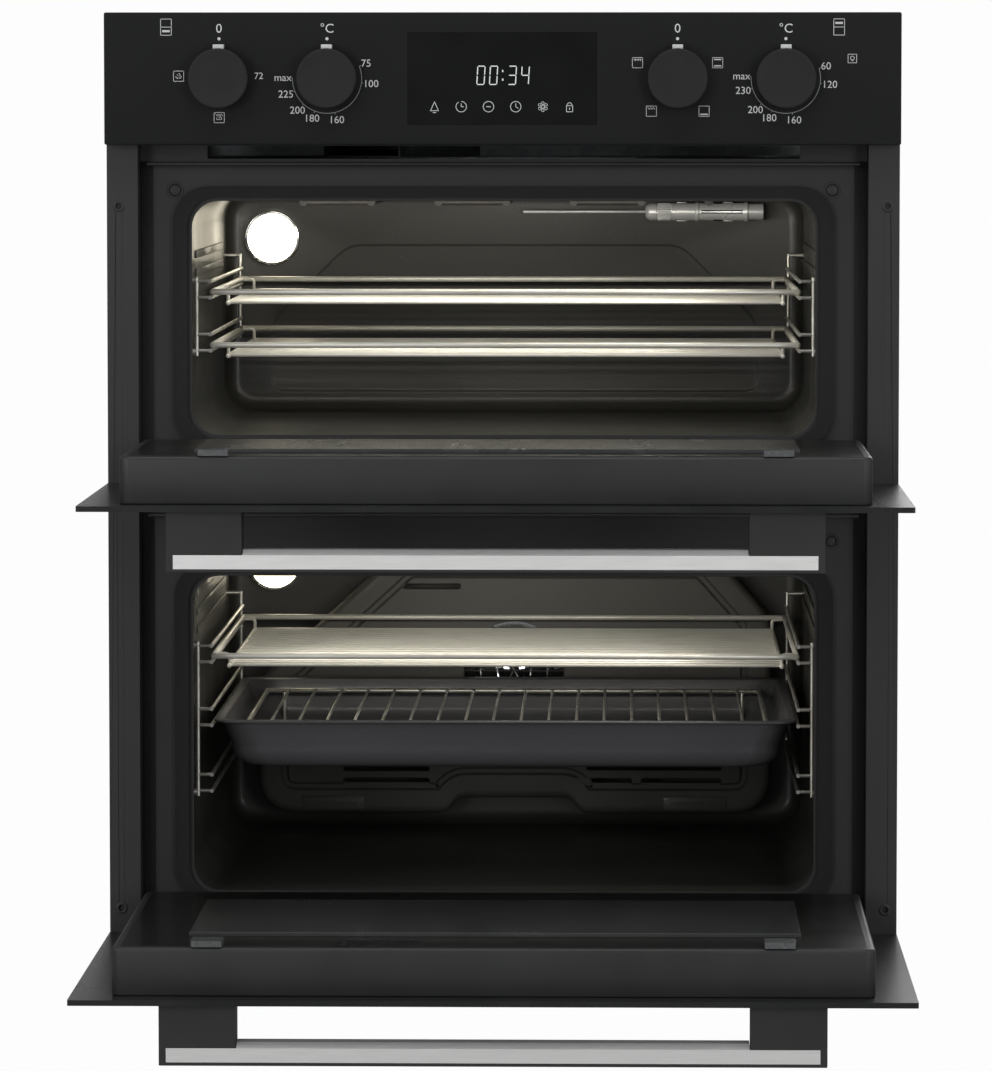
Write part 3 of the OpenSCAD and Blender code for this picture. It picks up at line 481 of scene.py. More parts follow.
def lathe(mesh, profile, turns=64, axis="Y", centre=(0, 0, 0)):
    # profile is (radius, along); a radius of 0 closes the end
    rows = []
    for r, along in profile:
        ring = []
        for a in circle(turns)[:turns if r > 0 else 1]:
            u, v = r * math.cos(a), r * math.sin(a)
            p = {"Y": (u, along, v), "Z": (u, v, along), "X": (along, u, v)}[axis]
            ring.append(mesh.verts.new([(p[k] + centre[k]) * mm for k in range(3)]))
        rows.append(ring)
    for a, b in zip(rows, rows[1:]):
        for i in range(turns):
            j = (i + 1) % turns
            corners = [a[i % len(a)], a[j % len(a)], b[j % len(b)], b[i % len(b)]]
            unique = [c for k, c in enumerate(corners) if c not in corners[:k]]
            if len(unique) > 2:
                mesh.faces.new(unique)


def slab(mesh, low, high, bevel=0.0, segments=2):
    # a block with rounded edges
    made = bmesh.ops.create_cube(mesh, size=1)["verts"]
    for v in made:
        v.co = Vector([(low[k] + high[k]) / 2 + v.co[k] * (high[k] - low[k]) for k in range(3)]) * mm
    if bevel:
        edges = list({e for v in made for e in v.link_edges})
        bmesh.ops.bevel(mesh, geom=edges, offset=bevel * mm, segments=segments, profile=0.5,
                        affect="EDGES")


wireTip = [(0.45, 0.54), (0.85, 0.27)]  # share of the radius, and how many radii further out


def wire(mesh, points, radius, bend=0, sides=8, closed=False):
    # a round wire along a path, its corners bent by that radius and its ends rounded
    path = [Vector(p) for p in points]
    if bend:
        bends = [roundCorner(*three, bend, 0.49, 5) for three in zip(path, path[1:], path[2:])]
        path = path[:1] + [q for curve in bends for q in curve] + path[-1:]
    side, rings, count = None, [], len(path)
    for i, p in enumerate(path):
        ahead = path[(i + 1) % count] if closed or i + 1 < count else p
        back = path[i - 1] if closed or i else p
        along = (ahead - back).normalized()
        if side is None:
            side = along.orthogonal().normalized()
        side = (side - along * side.dot(along)).normalized()
        other = along.cross(side)
        shapes = [(1, 0)]
        if not closed and i == 0:
            shapes = [(scale, -push) for scale, push in wireTip] + shapes
        elif not closed and i == count - 1:
            shapes += reversed(wireTip)
        for scale, push in shapes:
            centre = p + along * push * radius
            rings.append([(centre + (side * math.cos(t) + other * math.sin(t)) * radius * scale) * mm
                          for t in circle(sides)])
    rows = loft(mesh, rings, not closed, not closed)
    if closed:
        bridge(mesh, rows[-1], rows[0])


# control fascia: a folded tray with soft edges, a window opening and a return all round
fasciaShape = {"edge": 1.1, "corner": 1.4, "depth": 19, "sheet": 1.5, "window": (141, 68.5), "sill": 1.4}
fasciaLow, fasciaHigh = span("control_fascia")
fasciaFront = fasciaLow[1]
fasciaMid = (fasciaLow[2] + fasciaHigh[2]) / 2


def makeFascia():
    s = fasciaShape
    halfW, halfH = fasciaHigh[0], (fasciaHigh[2] - fasciaLow[2]) / 2

    def ring(inset, y, radius):
        return boxRing(halfW - inset, halfH - inset, radius, fasciaMid, y, 5)

    back = fasciaFront + s["depth"]
    rings = [ring(s["sheet"], fasciaFront + s["sheet"], 1), ring(s["sheet"], back, 1),
             ring(0, back, s["corner"])]
    for a in quarter(5):
        inset = s["edge"] * (1 - math.cos(a))
        rings.append(ring(inset, fasciaFront + s["edge"] * (1 - math.sin(a)), max(s["corner"] - inset, 0.3)))
    mesh = bmesh.new()
    rows = loft(mesh, rings, True)
    w, h = s["window"]
    rim = [mesh.verts.new(p) for p in boxRing(w / 2, h / 2, 0.8, fasciaMid, fasciaFront, 4)]
    sill = [mesh.verts.new((v.co.x, v.co.y + s["sill"] * mm, v.co.z)) for v in rim]
    fillBetween(mesh, [rows[-1], rim])
    bridge(mesh, rim, sill)
    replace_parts(makePiece("fascia_tray", mesh, fasciaPaint, "oven"), "control_fascia")


makeFascia()

knobShape = {
    "gap": 0.6,  # between the skirt and the fascia
    "edge": 1.3,  # rounding of the rim
    "dish": 0.35,  # how far the face is hollowed
    "shaft": (3, 14),  # radius and length
    "pointer": (4, 2.9, 5.2),  # half its width, how far it stands out, how far behind the face
}


def knobPlace(node):
    # middle across and up, radius, front
    low, high = span(node)
    r = (high[0] - low[0]) / 2
    return (low[0] + high[0]) / 2, low[2] + r, r, low[1]


def makeKnob(node):
    x, z, r, front = knobPlace(node)
    s = knobShape
    back, e = fasciaFront - s["gap"], s["edge"]
    shaftR, shaftEnd = s["shaft"][0], back + s["shaft"][1]
    rim = [(r - e + e * math.sin(a), front + e - e * math.cos(a)) for a in quarter(5)]
    face = [(0, front + s["dish"]), (r * 0.5, front + s["dish"] * 0.8),
            (r - e - 1.6, front + 0.12), (r - e - 0.9, front)]
    skirt = [(r, back - 1.2), (r - 0.4, back - 0.6), (r - 1.0, back)]
    mesh = bmesh.new()
    lathe(mesh, face + rim + skirt + [(shaftR, back), (shaftR, shaftEnd), (0, shaftEnd)], 96, "Y", (x, 0, z))
    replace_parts(makePiece(node + "_cap", mesh, knobPlastic, node), node)
    mesh = bmesh.new()
    halfW, reach, behind = s["pointer"]
    slab(mesh, (x - halfW, front + behind, z + r - 0.4), (x + halfW, back - 0.2, z + r + reach), 0.5)
    makePiece(node + "_pointer", mesh, inkWhite, node)


for name in knobNodes:
    makeKnob(name)
print("knobs done")


class Ink:
    # thin printed shapes on the fascia, in mm about a centre
    def __init__(self, lift=0.04):
        self.mesh = bmesh.new()
        self.y = fasciaFront - lift
        self.centre = (0, 0)

    def point(self, p):
        return Vector(((self.centre[0] + p[0]) * mm, self.y * mm, (self.centre[1] + p[1]) * mm))

    def face(self, corners):
        self.mesh.faces.new([self.mesh.verts.new(self.point(c)) for c in corners])

    def line(self, points, width=0.45, closed=False):
        path = [Vector(p) for p in points]
        if closed:
            path.append(path[0])
        for a, b in zip(path, path[1:]):
            along = (b - a).normalized() if (b - a).length else Vector((1, 0))
            off = Vector((-along.y, along.x)) * width / 2
            ext = along * width / 2
            self.face((a - ext + off, a - ext - off, b + ext - off, b + ext + off))

    def arc(self, centre, r, start=0, end=360, width=0.45, steps=24):
        # clockwise degrees from the top
        rim = []
        for i in range(steps + 1):
            a = math.radians(start + (end - start) * i / steps)
            rim.append([(centre[0] + q * math.sin(a), centre[1] + q * math.cos(a))
                        for q in (r - width / 2, r + width / 2)])
        for (a, b), (c, d) in zip(rim, rim[1:]):
            self.face((a, b, d, c))

    def text(self, words, at, size):
        curve = bpy.data.curves.new("words", "FONT")
        curve.body = words
        curve.size = size * 1.38 * mm  # the letters' height is 1 / 1.38 of the font's size
        curve.align_x = "CENTER"
        curve.align_y = "CENTER"
        curve.resolution_u = 3
        holder = bpy.data.objects.new("words", curve)
        bpy.context.collection.objects.link(holder)
        bpy.context.view_layer.update()
        data = bpy.data.meshes.new_from_object(holder)
        place = self.point(at)
        for v in data.vertices:
            v.co = (v.co.x + place.x, place.y, v.co.y + place.z)
        self.mesh.from_mesh(data)
        bpy.data.objects.remove(holder)
        bpy.data.curves.remove(curve)
        bpy.data.meshes.remove(data)

    def finish(self, name, material):
        data = bpy.data.meshes.new(name)
        self.mesh.to_mesh(data)
        self.mesh.free()
        for p in data.polygons:
            if p.normal.y > 0:
                p.flip()
        makePiece(name, data, material, "oven", smooth=False)


dials = {  # node: arc from, to, and (label, degrees clockwise from the top)
    "left_temperature_knob": (69.5, 270, [("75", 69), ("100", 97), ("160", 167), ("180", 201),
                                          ("200", 223), ("225", 249), ("max", 271)]),
    "right_temperature_knob": (73, 273.5, [("60", 73), ("120", 98), ("160", 169), ("180", 203),
                                           ("200", 224), ("230", 254), ("max", 273)]),
}
dialShape = {"arc": 25.8, "tick": 1.2, "label": 31.2, "size": 5.6, "long": 1.8, "dot": 29.6, "sign": 37.0}
white = Ink()
grey = Ink()
for node, (start, end, labels) in dials.items():
    white.centre = grey.centre = knobPlace(node)[:2]
    s = dialShape
    grey.arc((0, 0), s["arc"], start, end, 0.4, 60)
    for label, degrees in labels:
        a = math.radians(degrees)
        grey.line([(r * math.sin(a), r * math.cos(a)) for r in (s["arc"], s["arc"] + s["tick"])], 0.4)
        out = s["label"] + (s["long"] if len(label) > 2 else 0) * abs(math.sin(a))
        white.text(label, (out * math.sin(a), out * math.cos(a)), s["size"])
for node in knobNodes:
    white.centre = knobPlace(node)[:2]
    white.arc((0, dialShape["dot"]), 0.6, 0, 360, 1.2, 12)
    white.text("°C" if "temperature" in node else "0", (0, dialShape["sign"]), 7.0)


def cookingMark(ink, at, kind, size=7.6):
    # a square cavity with a bar for each heater that is on, a zigzag for the grill, or a fan
    h = size / 2
    x, z = at
    ink.line([(x - h, z - h), (x + h, z - h), (x + h, z + h), (x - h, z + h)], 0.4, True)
    for word, way in (("top", 1), ("base", -1)):
        if word in kind:
            ink.line([(x - h * 0.6, z + way * h * 0.62), (x + h * 0.6, z + way * h * 0.62)], 0.9)
    if "grill" in kind:
        ink.line([(x - h * 0.7 + i * h * 0.28, z + h * (0.35 if i % 2 else 0.7)) for i in range(6)], 0.35)
    if "fan" in kind:
        for i in range(3):
            a = math.radians(120 * i)
            ink.arc((x + 1.1 * math.sin(a), z + 1.1 * math.cos(a)), 1.0, 0, 300, 0.4, 10)
    if "lamp" in kind:
        ink.arc((x, z + 0.4), 1.4, 0, 360, 0.4, 12)
        ink.line([(x - 0.6, z - 1.6), (x + 0.6, z - 1.6)], 0.4)


marks = {  # node: (place from the knob's middle, kind)
    "left_function_knob": [((-30.2, 2.4), "fan"), ((0, -28.4), "grill fan")],
    "right_function_knob": [((-29.8, 12.4), "top grill"), ((29.8, 12.4), "top base"),
                            ((-19.4, -23.6), "grill"), ((19.8, -23.6), "base")],
}
for node, kinds in marks.items():
    white.centre = (knobPlace(node)[0], fasciaMid - 0.6)
    for at, kind in kinds:
        cookingMark(white, at, kind)
    if node == "left_function_knob":
        white.text("72", (29.6, 2.4), 5.0)
# which cavity a pair of knobs works
for x, way in ((-250.5, -1), (250.5, 1)):
    white.centre = (x, 706)
    white.line([(-4, -6), (4, -6), (4, 6), (-4, 6)], 0.45, True)
    white.line([(-4, 0), (4, 0)], 0.45)
    white.line([(-2, 3 * way), (2, 3 * way)], 1.6)
white.centre = (260.4, 682.6)
cookingMark(white, (0, 0), "lamp", 6.4)
white.finish("fascia_print", inkWhite)
grey.finish("dial_arcs", inkDim)

# lit clock and touch signs behind the window
clock = Ink(-0.16)
digitShape = {"wide": 5.4, "high": 13.6, "stroke": 0.75, "lean": 0.06, "cut": 0.12}
strokes = {"0": "abcdef", "3": "abcdg", "4": "bcfg"}


def drawDigit(ink, at, digit):
    s = digitShape
    w, h = s["wide"] / 2, s["high"] / 2
    ends = {"a": ((-w, h), (w, h)), "b": ((w, h), (w, 0)), "c": ((w, 0), (w, -h)), "d": ((-w, -h), (w, -h)),
            "e": ((-w, -h), (-w, 0)), "f": ((-w, 0), (-w, h)), "g": ((-w, 0), (w, 0))}
    for stroke in strokes[digit]:
        (x0, z0), (x1, z1) = ends[stroke]
        a = (x0 + (x1 - x0) * s["cut"], z0 + (z1 - z0) * s["cut"])
        b = (x1 + (x0 - x1) * s["cut"], z1 + (z0 - z1) * s["cut"])
        ink.line([(at[0] + p[0] + p[1] * s["lean"], at[1] + p[1]) for p in (a, b)], s["stroke"])


clock.centre = (0.2, 670.2)
for x, digit in ((-16, "0"), (-6.6, "0"), (7.4, "3"), (17, "4")):
    drawDigit(clock, (x, 0), digit)
for z in (-3.2, 3.2):
    clock.line([(0.2, z - 0.3), (0.2, z + 0.3)], 1.0)
clock.finish("clock_digits", litDigits)
signs = Ink(-0.16)
signPlaces = {"bell": -50.4, "timer": -30.5, "minus": -10.2, "clock": 10.1, "snowflake": 30.3, "lock": 50.2}
for kind, x in signPlaces.items():
    signs.centre = (x, 646.9)
    if kind == "bell":
        signs.line([(-3, -3), (3, -3), (0, 3.6)], 0.5, True)
        signs.line([(-1, -4.4), (1, -4.4)], 0.5)
    elif kind == "snowflake":
        signs.arc((0, 0), 1.2, width=0.5)
        for a in circle(6):
            signs.arc((2.7 * math.sin(a), 2.7 * math.cos(a)), 1.0, 0, 360, 0.4, 10)
    elif kind == "lock":
        signs.line([(-2.3, -3.8), (2.3, -3.8), (2.3, 0.8), (-2.3, 0.8)], 0.5, True)
        signs.arc((0, 1.2), 1.7, -90, 90, 0.5)
        signs.line([(0, -2), (0, -1)], 0.6)
    else:
        signs.arc((0, 0), 3.9, 0, 330 if kind == "timer" else 360, 0.5)
        if kind == "minus":
            signs.line([(-1.4, 0), (1.4, 0)], 0.6)
        else:
            signs.line([(0, 0), (0, 2.2)], 0.5)
            signs.line([(0, 0), (1.7, 0 if kind == "timer" else -1.2)], 0.5)
signs.finish("touch_signs", litSigns)
print("fascia prints done")

# softened edges of the CAD nodes that show: bevel in mm, segments
softened = {
    (0.25, 2): "left_column right_column front_frame base_panel left_side_panel right_side_panel "
               "top_panel rear_panel",
    (0.3, 2): "air_guides",
    (0.6, 2): "terminal_block rotary_switches fan_motor blower_housing",
    (0.8, 3): "upper_glass_clips lower_glass_clips upper_handle_housing lower_handle_housing "
              "upper_handle_bar lower_handle_bar",
    (0.5, 3): "upper_door_glass lower_door_glass",
    (0.6, 3): "upper_inner_glass lower_inner_glass",
}
for (width, segments), names in softened.items():
    for name in names.split():
        softenEdges(name, width, segments)

# pan-head screws hold the casing's sheets together
screwShape = {"r": 3.6, "rise": 1.9, "x": -span("left_side_panel")[0][0], "z": span("top_panel")[1][2]}


def casingScrew(mesh, place, axis, way):
    s = screwShape
    k = "XYZ".index(axis)
    profile = [(0, s["rise"] - 0.9), (0.9, s["rise"] - 0.8), (1.2, s["rise"]), (2.4, s["rise"] * 0.85),
               (3.2, s["rise"] * 0.5), (s["r"], 0.1), (s["r"], -0.3)]
    centre = [0 if i == k else place[i] for i in range(3)]
    lathe(mesh, [(r, place[k] + way * v) for r, v in profile], 20, axis, centre)


mesh = bmesh.new()
for sx in (-1, 1):
    for y in (60, 300, 520):
        for z in (18, 340, 690):
            casingScrew(mesh, (sx * screwShape["x"], y, z), "X", sx)
for x in (-240, 0, 240):
    for y in (70, 525):
        casingScrew(mesh, (x, y, screwShape["z"]), "Z", 1)
makePiece("casing_screws", mesh, zincPart, "oven")

# eyelets in the cabinet screw holes; each is a closed cup, and its dark bottom is painted shade deep in the
# hole
eyeletShape = {"hole": 2.35, "rim": 4.6, "lift": 0.55, "depth": 2.4}
screws = next(m for m in frame["record"]["mounts"] if m["name"] == "cabinet_screws")
mesh = bmesh.new()
for sx in (-1, 1):
    for sz in (-1, 1):
        x = sx * screws["dims"]["spacing_x_mm"] / 2
        z = screws["pos_m"][2] / mm + sz * screws["dims"]["spacing_y_mm"] / 2
        front = span("right_column")[0][1]
        hole, rim, lift, deep = (eyeletShape[key] for key in ("hole", "rim", "lift", "depth"))
        lathe(mesh, [(0, front + deep), (hole - 0.1, front + deep), (hole - 0.1, front - lift * 0.6),
                     (hole + 0.5, front - lift), (rim - 0.7, front - lift), (rim, front - 0.02),
                     (hole - 0.05, front - 0.02), (hole - 0.05, front + deep + 0.2), (0, front + deep + 0.2)],
              32, "Y", (x, 0, z))
makePiece("column_eyelets", mesh, darkPlastic, "oven")

# rounded plugs in the frame's spare hinge holes
frameLow, frameHigh = span("front_frame")
plugLow, plugHigh = span("frame_plugs")
plugShape = {"rise": 1.3, "ring": 1.1, "x": 247.5, "upper": 5.5, "lower": 5.0}
mesh = bmesh.new()
for sx in (-1, 1):
    s = plugShape
    for z, r in ((plugHigh[2] - s["upper"], s["upper"]), (plugLow[2] + s["lower"], s["lower"])):
        front, rise, ring = frameLow[1], s["rise"], s["ring"]
        lathe(mesh, [(0, front - rise), (r * 0.45, front - rise * 0.93), (r - ring - 0.5, front - rise * 0.6),
                     (r - ring, front + 0.1), (r - 0.5, front - 0.7), (r + 0.6, front - 0.75),
                     (r + 0.9, front - 0.05)], 40, "Y", (sx * s["x"], 0, z))
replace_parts(makePiece("plug_caps", mesh, plugPlastic, "oven"), "frame_plugs")

# dark strips down each side of the frame, laid on its face: painted shade of the rebate there
rebateShadeStripShape = {"x": 268.8, "half": 4.6, "rise": 1.2, "foot": 14, "head": 98}
mesh = bmesh.new()
for sx in (-1, 1):
    s = rebateShadeStripShape
    slab(mesh, (sx * s["x"] - s["half"], frameLow[1] - s["rise"], s["foot"]),
         (sx * s["x"] + s["half"], frameLow[1] - 0.02, frameHigh[2] - s["head"]), 0.5)
makePiece("painted_rebate_shade_strips", mesh, sealRubber, "oven")

# cavities: one deep-drawn shell each, with straight walls and a filleted back
cavityShape = {"wall": 1.2, "fillet": 12, "corner": 24, "sink": 1.05, "slope": 2.2}


def cavityLiner(node, name, backY, pressing=None):
    # pressing is the outline of a field sunk in the back
    low, high = span(node)
    s = cavityShape
    wall, corner, fillet = s["wall"], s["corner"], s["fillet"]
    w = high[0] - wall
    z0, z1 = low[2] + wall, high[2] - wall
    h, mid = (z1 - z0) / 2, (z0 + z1) / 2

    def ring(inset, y, radius):
        return boxRing(w - inset, h - inset, radius, mid, y, 10)

    rings = [ring(-wall, backY + 3 * wall, corner + wall), ring(-wall, low[1] + 0.1, corner + wall),
             ring(0, low[1] + 0.2, corner), ring(0, backY - fillet, corner)]
    for a in quarter(6)[1:]:
        inset = fillet * (1 - math.cos(a))
        rings.append(ring(inset, backY - fillet * (1 - math.sin(a)), max(corner - inset, 4)))
    mesh = bmesh.new()
    rows = loft(mesh, rings, True, pressing is None)
    if pressing:
        before = outlineRing(mesh, pressing, backY)
        fillBetween(mesh, [rows[-1], before])
        for share in (0.25, 0.75, 1.0):
            depth = s["sink"] * (3 * share ** 2 - 2 * share ** 3)
            after = outlineRing(mesh, shrunk(pressing, s["slope"] * share), backY + depth)
            bridge(mesh, before, after)
            before = after
        mesh.faces.new(before)
    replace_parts(makePiece(name, mesh, cavityEnamel, "oven"), node)


upperLow, upperHigh = span("upper_muffle")
upperBack = upperHigh[1] - cavityShape["wall"]
lowerBack = span("lower_muffle")[1][1] - cavityShape["wall"]
fieldShape = {"half": 202, "foot": 16, "head": 46, "topHalf": 138, "chamfer": 64, "corner": 12}
s = fieldShape
foot, head = upperLow[2] + s["foot"], upperHigh[2] - s["head"]
upperField = roundedOutline([(-s["half"], foot), (s["half"], foot), (s["half"], head - s["chamfer"]),
                             (s["topHalf"], head), (-s["topHalf"], head),
                             (-s["half"], head - s["chamfer"])], s["corner"])
cavityLiner("upper_muffle", "upper_cavity_liner", upperBack, upperField)
cavityLiner("lower_muffle", "lower_cavity_liner", lowerBack)

# a chromed bezel holds each lamp lens
lensShape = {"x": -200, "r": 21.5}
mesh = bmesh.new()
lensLow, lensHigh = span("lamp_lenses")
r = lensShape["r"]
for z, back in ((lensHigh[2] - r, upperBack), (lensLow[2] + r, lowerBack)):
    lathe(mesh, [(r - 1.2, back - 7.6), (r - 0.4, back - 8.3), (r + 0.5, back - 8.2), (r + 1.2, back - 7),
                 (r + 1.6, back - 0.1)], 64, "Y", (lensShape["x"], 0, z))
makePiece("lens_bezels", mesh, chromePolish, "oven")

# bars pressed in the side walls, where the side racks hook in
ribShape = {"x": 237.9, "rise": 1.3, "half": 3, "front": 96,
            "rows": [(384, (506, 520, 534)), (400, (245, 259, 273))]}  # where they end, and their heights
mesh = bmesh.new()
for sx in (-1, 1):
    s = ribShape
    inner, outer = sorted((sx * s["x"], sx * (s["x"] - s["rise"])))
    for back, heights in s["rows"]:
        for z in heights:
            slab(mesh, (inner, s["front"], z - s["half"]), (outer, back, z + s["half"]), 0.6)
makePiece("side_wall_ribs", mesh, cavityEnamel, "oven")
print("cavities done")

# shelves
shelfShape = {"rod": 2.3, "thin": 1.3, "drop": 9, "wires": 17, "inset": 11, "links": (1, 17), "x": 223.5,
              "margin": 14}


def wireShelf(node):
    # a frame of rods with a lower grid of wires hung in it on four links
    low, high = span(node)
    s = shelfShape
    rod, thin, x = s["rod"], s["thin"], s["x"]
    y0, y1, z = low[1] + rod, high[1] - rod, high[2] - rod
    gridX, gridZ = x - s["inset"], z - s["drop"]
    mesh = bmesh.new()
    for px in (-x, x):
        wire(mesh, [(px, y0, z), (px, y1, z)], rod, 0, 12)
    for py in (y0, y1):
        wire(mesh, [(-x - 0.6, py, z), (x + 0.6, py, z)], rod, 0, 12)
    for px in (-gridX, gridX):
        wire(mesh, [(px, y0 + s["margin"], gridZ), (px, y1 - s["margin"], gridZ)], thin + 0.5, 0, 10)
    for i in range(1, s["wires"] + 1):
        y = y0 + (y1 - y0) * i / (s["wires"] + 1)
        wire(mesh, [(-gridX - 0.6, y, gridZ + 0.5), (gridX + 0.6, y, gridZ + 0.5)], thin)
        if i in s["links"]:
            for sx in (-1, 1):
                wire(mesh, [(sx * x, y, z), (sx * gridX, y, z), (sx * gridX, y, gridZ)], thin, 3.2)
    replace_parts(makePiece(node + "_wires", mesh, shelfWire, node), node)


for name in ("upper_shelf", "middle_shelf", "lower_shelf"):
    wireShelf(name)

# roasting pan: a drawn shell with a flat rim, a tapered wall and a round foot
panShape = {"sheet": 1.5, "taper": 16, "body": 218, "corner": 30, "foot": 14, "rim": 223.5, "rimWide": 8,
            "rimCorner": 14, "mouth": 22}
panLow, panHigh = span("roasting_pan")
s = panShape
midY, halfY = (panLow[1] + panHigh[1]) / 2, (panHigh[1] - panLow[1]) / 2
rimZ, depth = panHigh[2], panHigh[2] - panLow[2] - s["sheet"]
wallX, wallY = s["body"], halfY - s["rimWide"]


def panRing(x, y, drop, radius):
    return boxRing(x, y, radius, midY, rimZ - drop, 8, True)


def panWall(sheet):
    # the outside lies one sheet further out than the inside
    s = panShape
    rings = []
    for i, a in enumerate(quarter(8)):
        side = 0.45 * s["taper"] + s["foot"] * (1 - math.cos(a)) - sheet
        drop = depth * (0.55 + 0.45 * math.sin(a)) + sheet * (0.4 + 0.6 * i / 8)
        rings.append(panRing(wallX - side, wallY - side * 0.8, drop, s["corner"] - 4 * i / 8))
    return rings


mesh = bmesh.new()
rimRing = panRing(s["rim"], halfY, 1.4, s["rimCorner"])
loft(mesh, [rimRing, panRing(s["rim"], halfY, 0.5, s["rimCorner"]),
            panRing(s["rim"] - 0.6, halfY - 0.5, 0, s["rimCorner"] - 0.5),
            panRing(wallX + 0.5, wallY + 0.5, 0, s["mouth"]),
            panRing(wallX - 1.4, wallY - 1.4, 1.2, s["mouth"])] + panWall(0), False, True)
loft(mesh, [rimRing, panRing(wallX + 1.2, wallY + 1.2, 1.6, s["mouth"])] + panWall(s["sheet"]), False, True)
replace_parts(makePiece("pan_shell", mesh, panEnamel, "roasting_pan"), "roasting_pan")

# trivet: a frame of rods on four legs, with wires across it
trivetShape = {"rail": 2.0, "thin": 1.2, "wires": 18, "spread": 1.82, "x": 202, "legX": 188}
trivetLow, trivetHigh = span("pan_trivet")
s = trivetShape
x, thin = s["x"], s["thin"]
y0, y1 = trivetLow[1] + 2.3, trivetHigh[1] - 2.3
z = trivetHigh[2] - 2.1
mesh = bmesh.new()
for y in (y0, y1):
    wire(mesh, [(-x, y, z), (x, y, z)], s["rail"], 0, 12)
for sx in (-1, 1):
    wire(mesh, [(sx * x, y0 - 1.5, z), (sx * x, y1 + 1.5, z)], s["rail"], 0, 12)
    for y in (y0, y1):
        wire(mesh, [(sx * s["legX"], y, trivetLow[2] + 1), (sx * s["legX"], y, z)], 1.6, 0, 10)
for i in range(s["wires"]):
    across = (i / (s["wires"] - 1) - 0.5) * s["spread"] * x
    wire(mesh, [(across, y0, z + 0.9), (across, y1, z + 0.9)], thin)
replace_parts(makePiece("trivet_wires", mesh, chromeWire, "pan_trivet"), "pan_trivet")
print("shelves and pan done")

# fan cover: a pressing with a round edge, a groove round its face, slots and the fan's inlet
coverShape = {"corner": 26, "round": 7, "inlet": 42, "fanZ": 180.75, "groove": 2.2}
coverLow, coverHigh = span("fan_cover")
coverX, coverFoot, coverTop, coverFront = coverHigh[0], coverLow[2], coverHigh[2], coverLow[1]


def coverOutline(inset):
    k, foot, top = inset, coverFoot + inset, coverTop - inset
    points = [(k - coverX, foot), (-56, foot), (-46, foot + 13), (46, foot + 13), (56, foot),
              (coverX - k, foot), (coverX - k, coverTop - 59), (coverX - 50 - k / 2, top),
              (118 - coverX + k / 2, top), (k - coverX, coverTop - 112)]
    corner = coverShape["corner"] - k * 0.7
    radii = [corner, 5, 5, 5, 5, corner, 8, 8, 8, 8]
    return roundedOutline(points, [r * 1.3 for r in radii], 6)


mesh = bmesh.new()
s = coverShape
before = outlineRing(mesh, coverOutline(0), lowerBack - 0.1)
for a in quarter(5):
    after = outlineRing(mesh, coverOutline(s["round"] * (1 - math.cos(a))),
                        coverFront + s["round"] * (1 - math.sin(a)))
    bridge(mesh, before, after)
    before = after
flat = coverOutline(s["round"])
for inset, sunk in ((12, 0), (14, s["groove"]), (17, s["groove"]), (19, 0.2)):
    after = outlineRing(mesh, shrunk(flat, inset), coverFront + sunk)
    bridge(mesh, before, after)
    before = after
holes = [before]
slots = [(-142, -70, coverFoot + 24, 6), (30, 98, coverFoot + 24, 6), (105, 172, coverFoot + 24, 6),
         (-142, -70, coverFoot + 35, 4.5), (60, 172, coverFoot + 36, 3.5), (-92, -44, coverTop - 35, 5)]
cuts = [roundedOutline([(x0, z), (x1, z), (x1, z + h), (x0, z + h)], h * 0.4, 3) for x0, x1, z, h in slots]
cuts.append([(s["inlet"] * math.cos(a), s["fanZ"] + s["inlet"] * math.sin(a)) for a in circle(48)])
for cut in cuts:
    holes.append(outlineRing(mesh, cut, coverFront + 0.2))
    inner = outlineRing(mesh, shrunk(cut, 0.7), coverFront + 1.2)
    bridge(mesh, holes[-1], inner)
    bridge(mesh, inner, outlineRing(mesh, shrunk(cut, 0.9), coverFront + 6))
fillBetween(mesh, holes)
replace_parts(makePiece("fan_cover_pressing", mesh, coverEnamel, "oven"), "fan_cover")

# the guard in the inlet: two rings on three bars
mesh = bmesh.new()
guardY = coverFront + 2.4
for r in (14, 28):
    wire(mesh, [(r * math.cos(a), guardY, s["fanZ"] + r * math.sin(a)) for a in circle(40)], 1.2, closed=True)
for a in (0, 60, 120):
    reach = s["inlet"] + 0.5
    dx, dz = math.cos(math.radians(a)) * reach, math.sin(math.radians(a)) * reach
    wire(mesh, [(-dx, guardY, s["fanZ"] - dz), (dx, guardY, s["fanZ"] + dz)], 1.1)
makePiece("fan_guard", mesh, chromePolish, "oven")

# the two fastening tabs in the cover's foot
mesh = bmesh.new()
for x, tongue in ((-150, (-8, 20)), (150, (-20, 8))):
    slab(mesh, (x - 26, coverFront - 0.9, coverFoot + 3.5), (x + 26, coverFront + 0.4, coverFoot + 14.5), 0.5)
    slab(mesh, (x + tongue[0], coverFront - 1.3, coverFoot + 8),
         (x + tongue[1], coverFront, coverFoot + 10), 0.4)
makePiece("cover_tabs", mesh, coverEnamel, "oven")

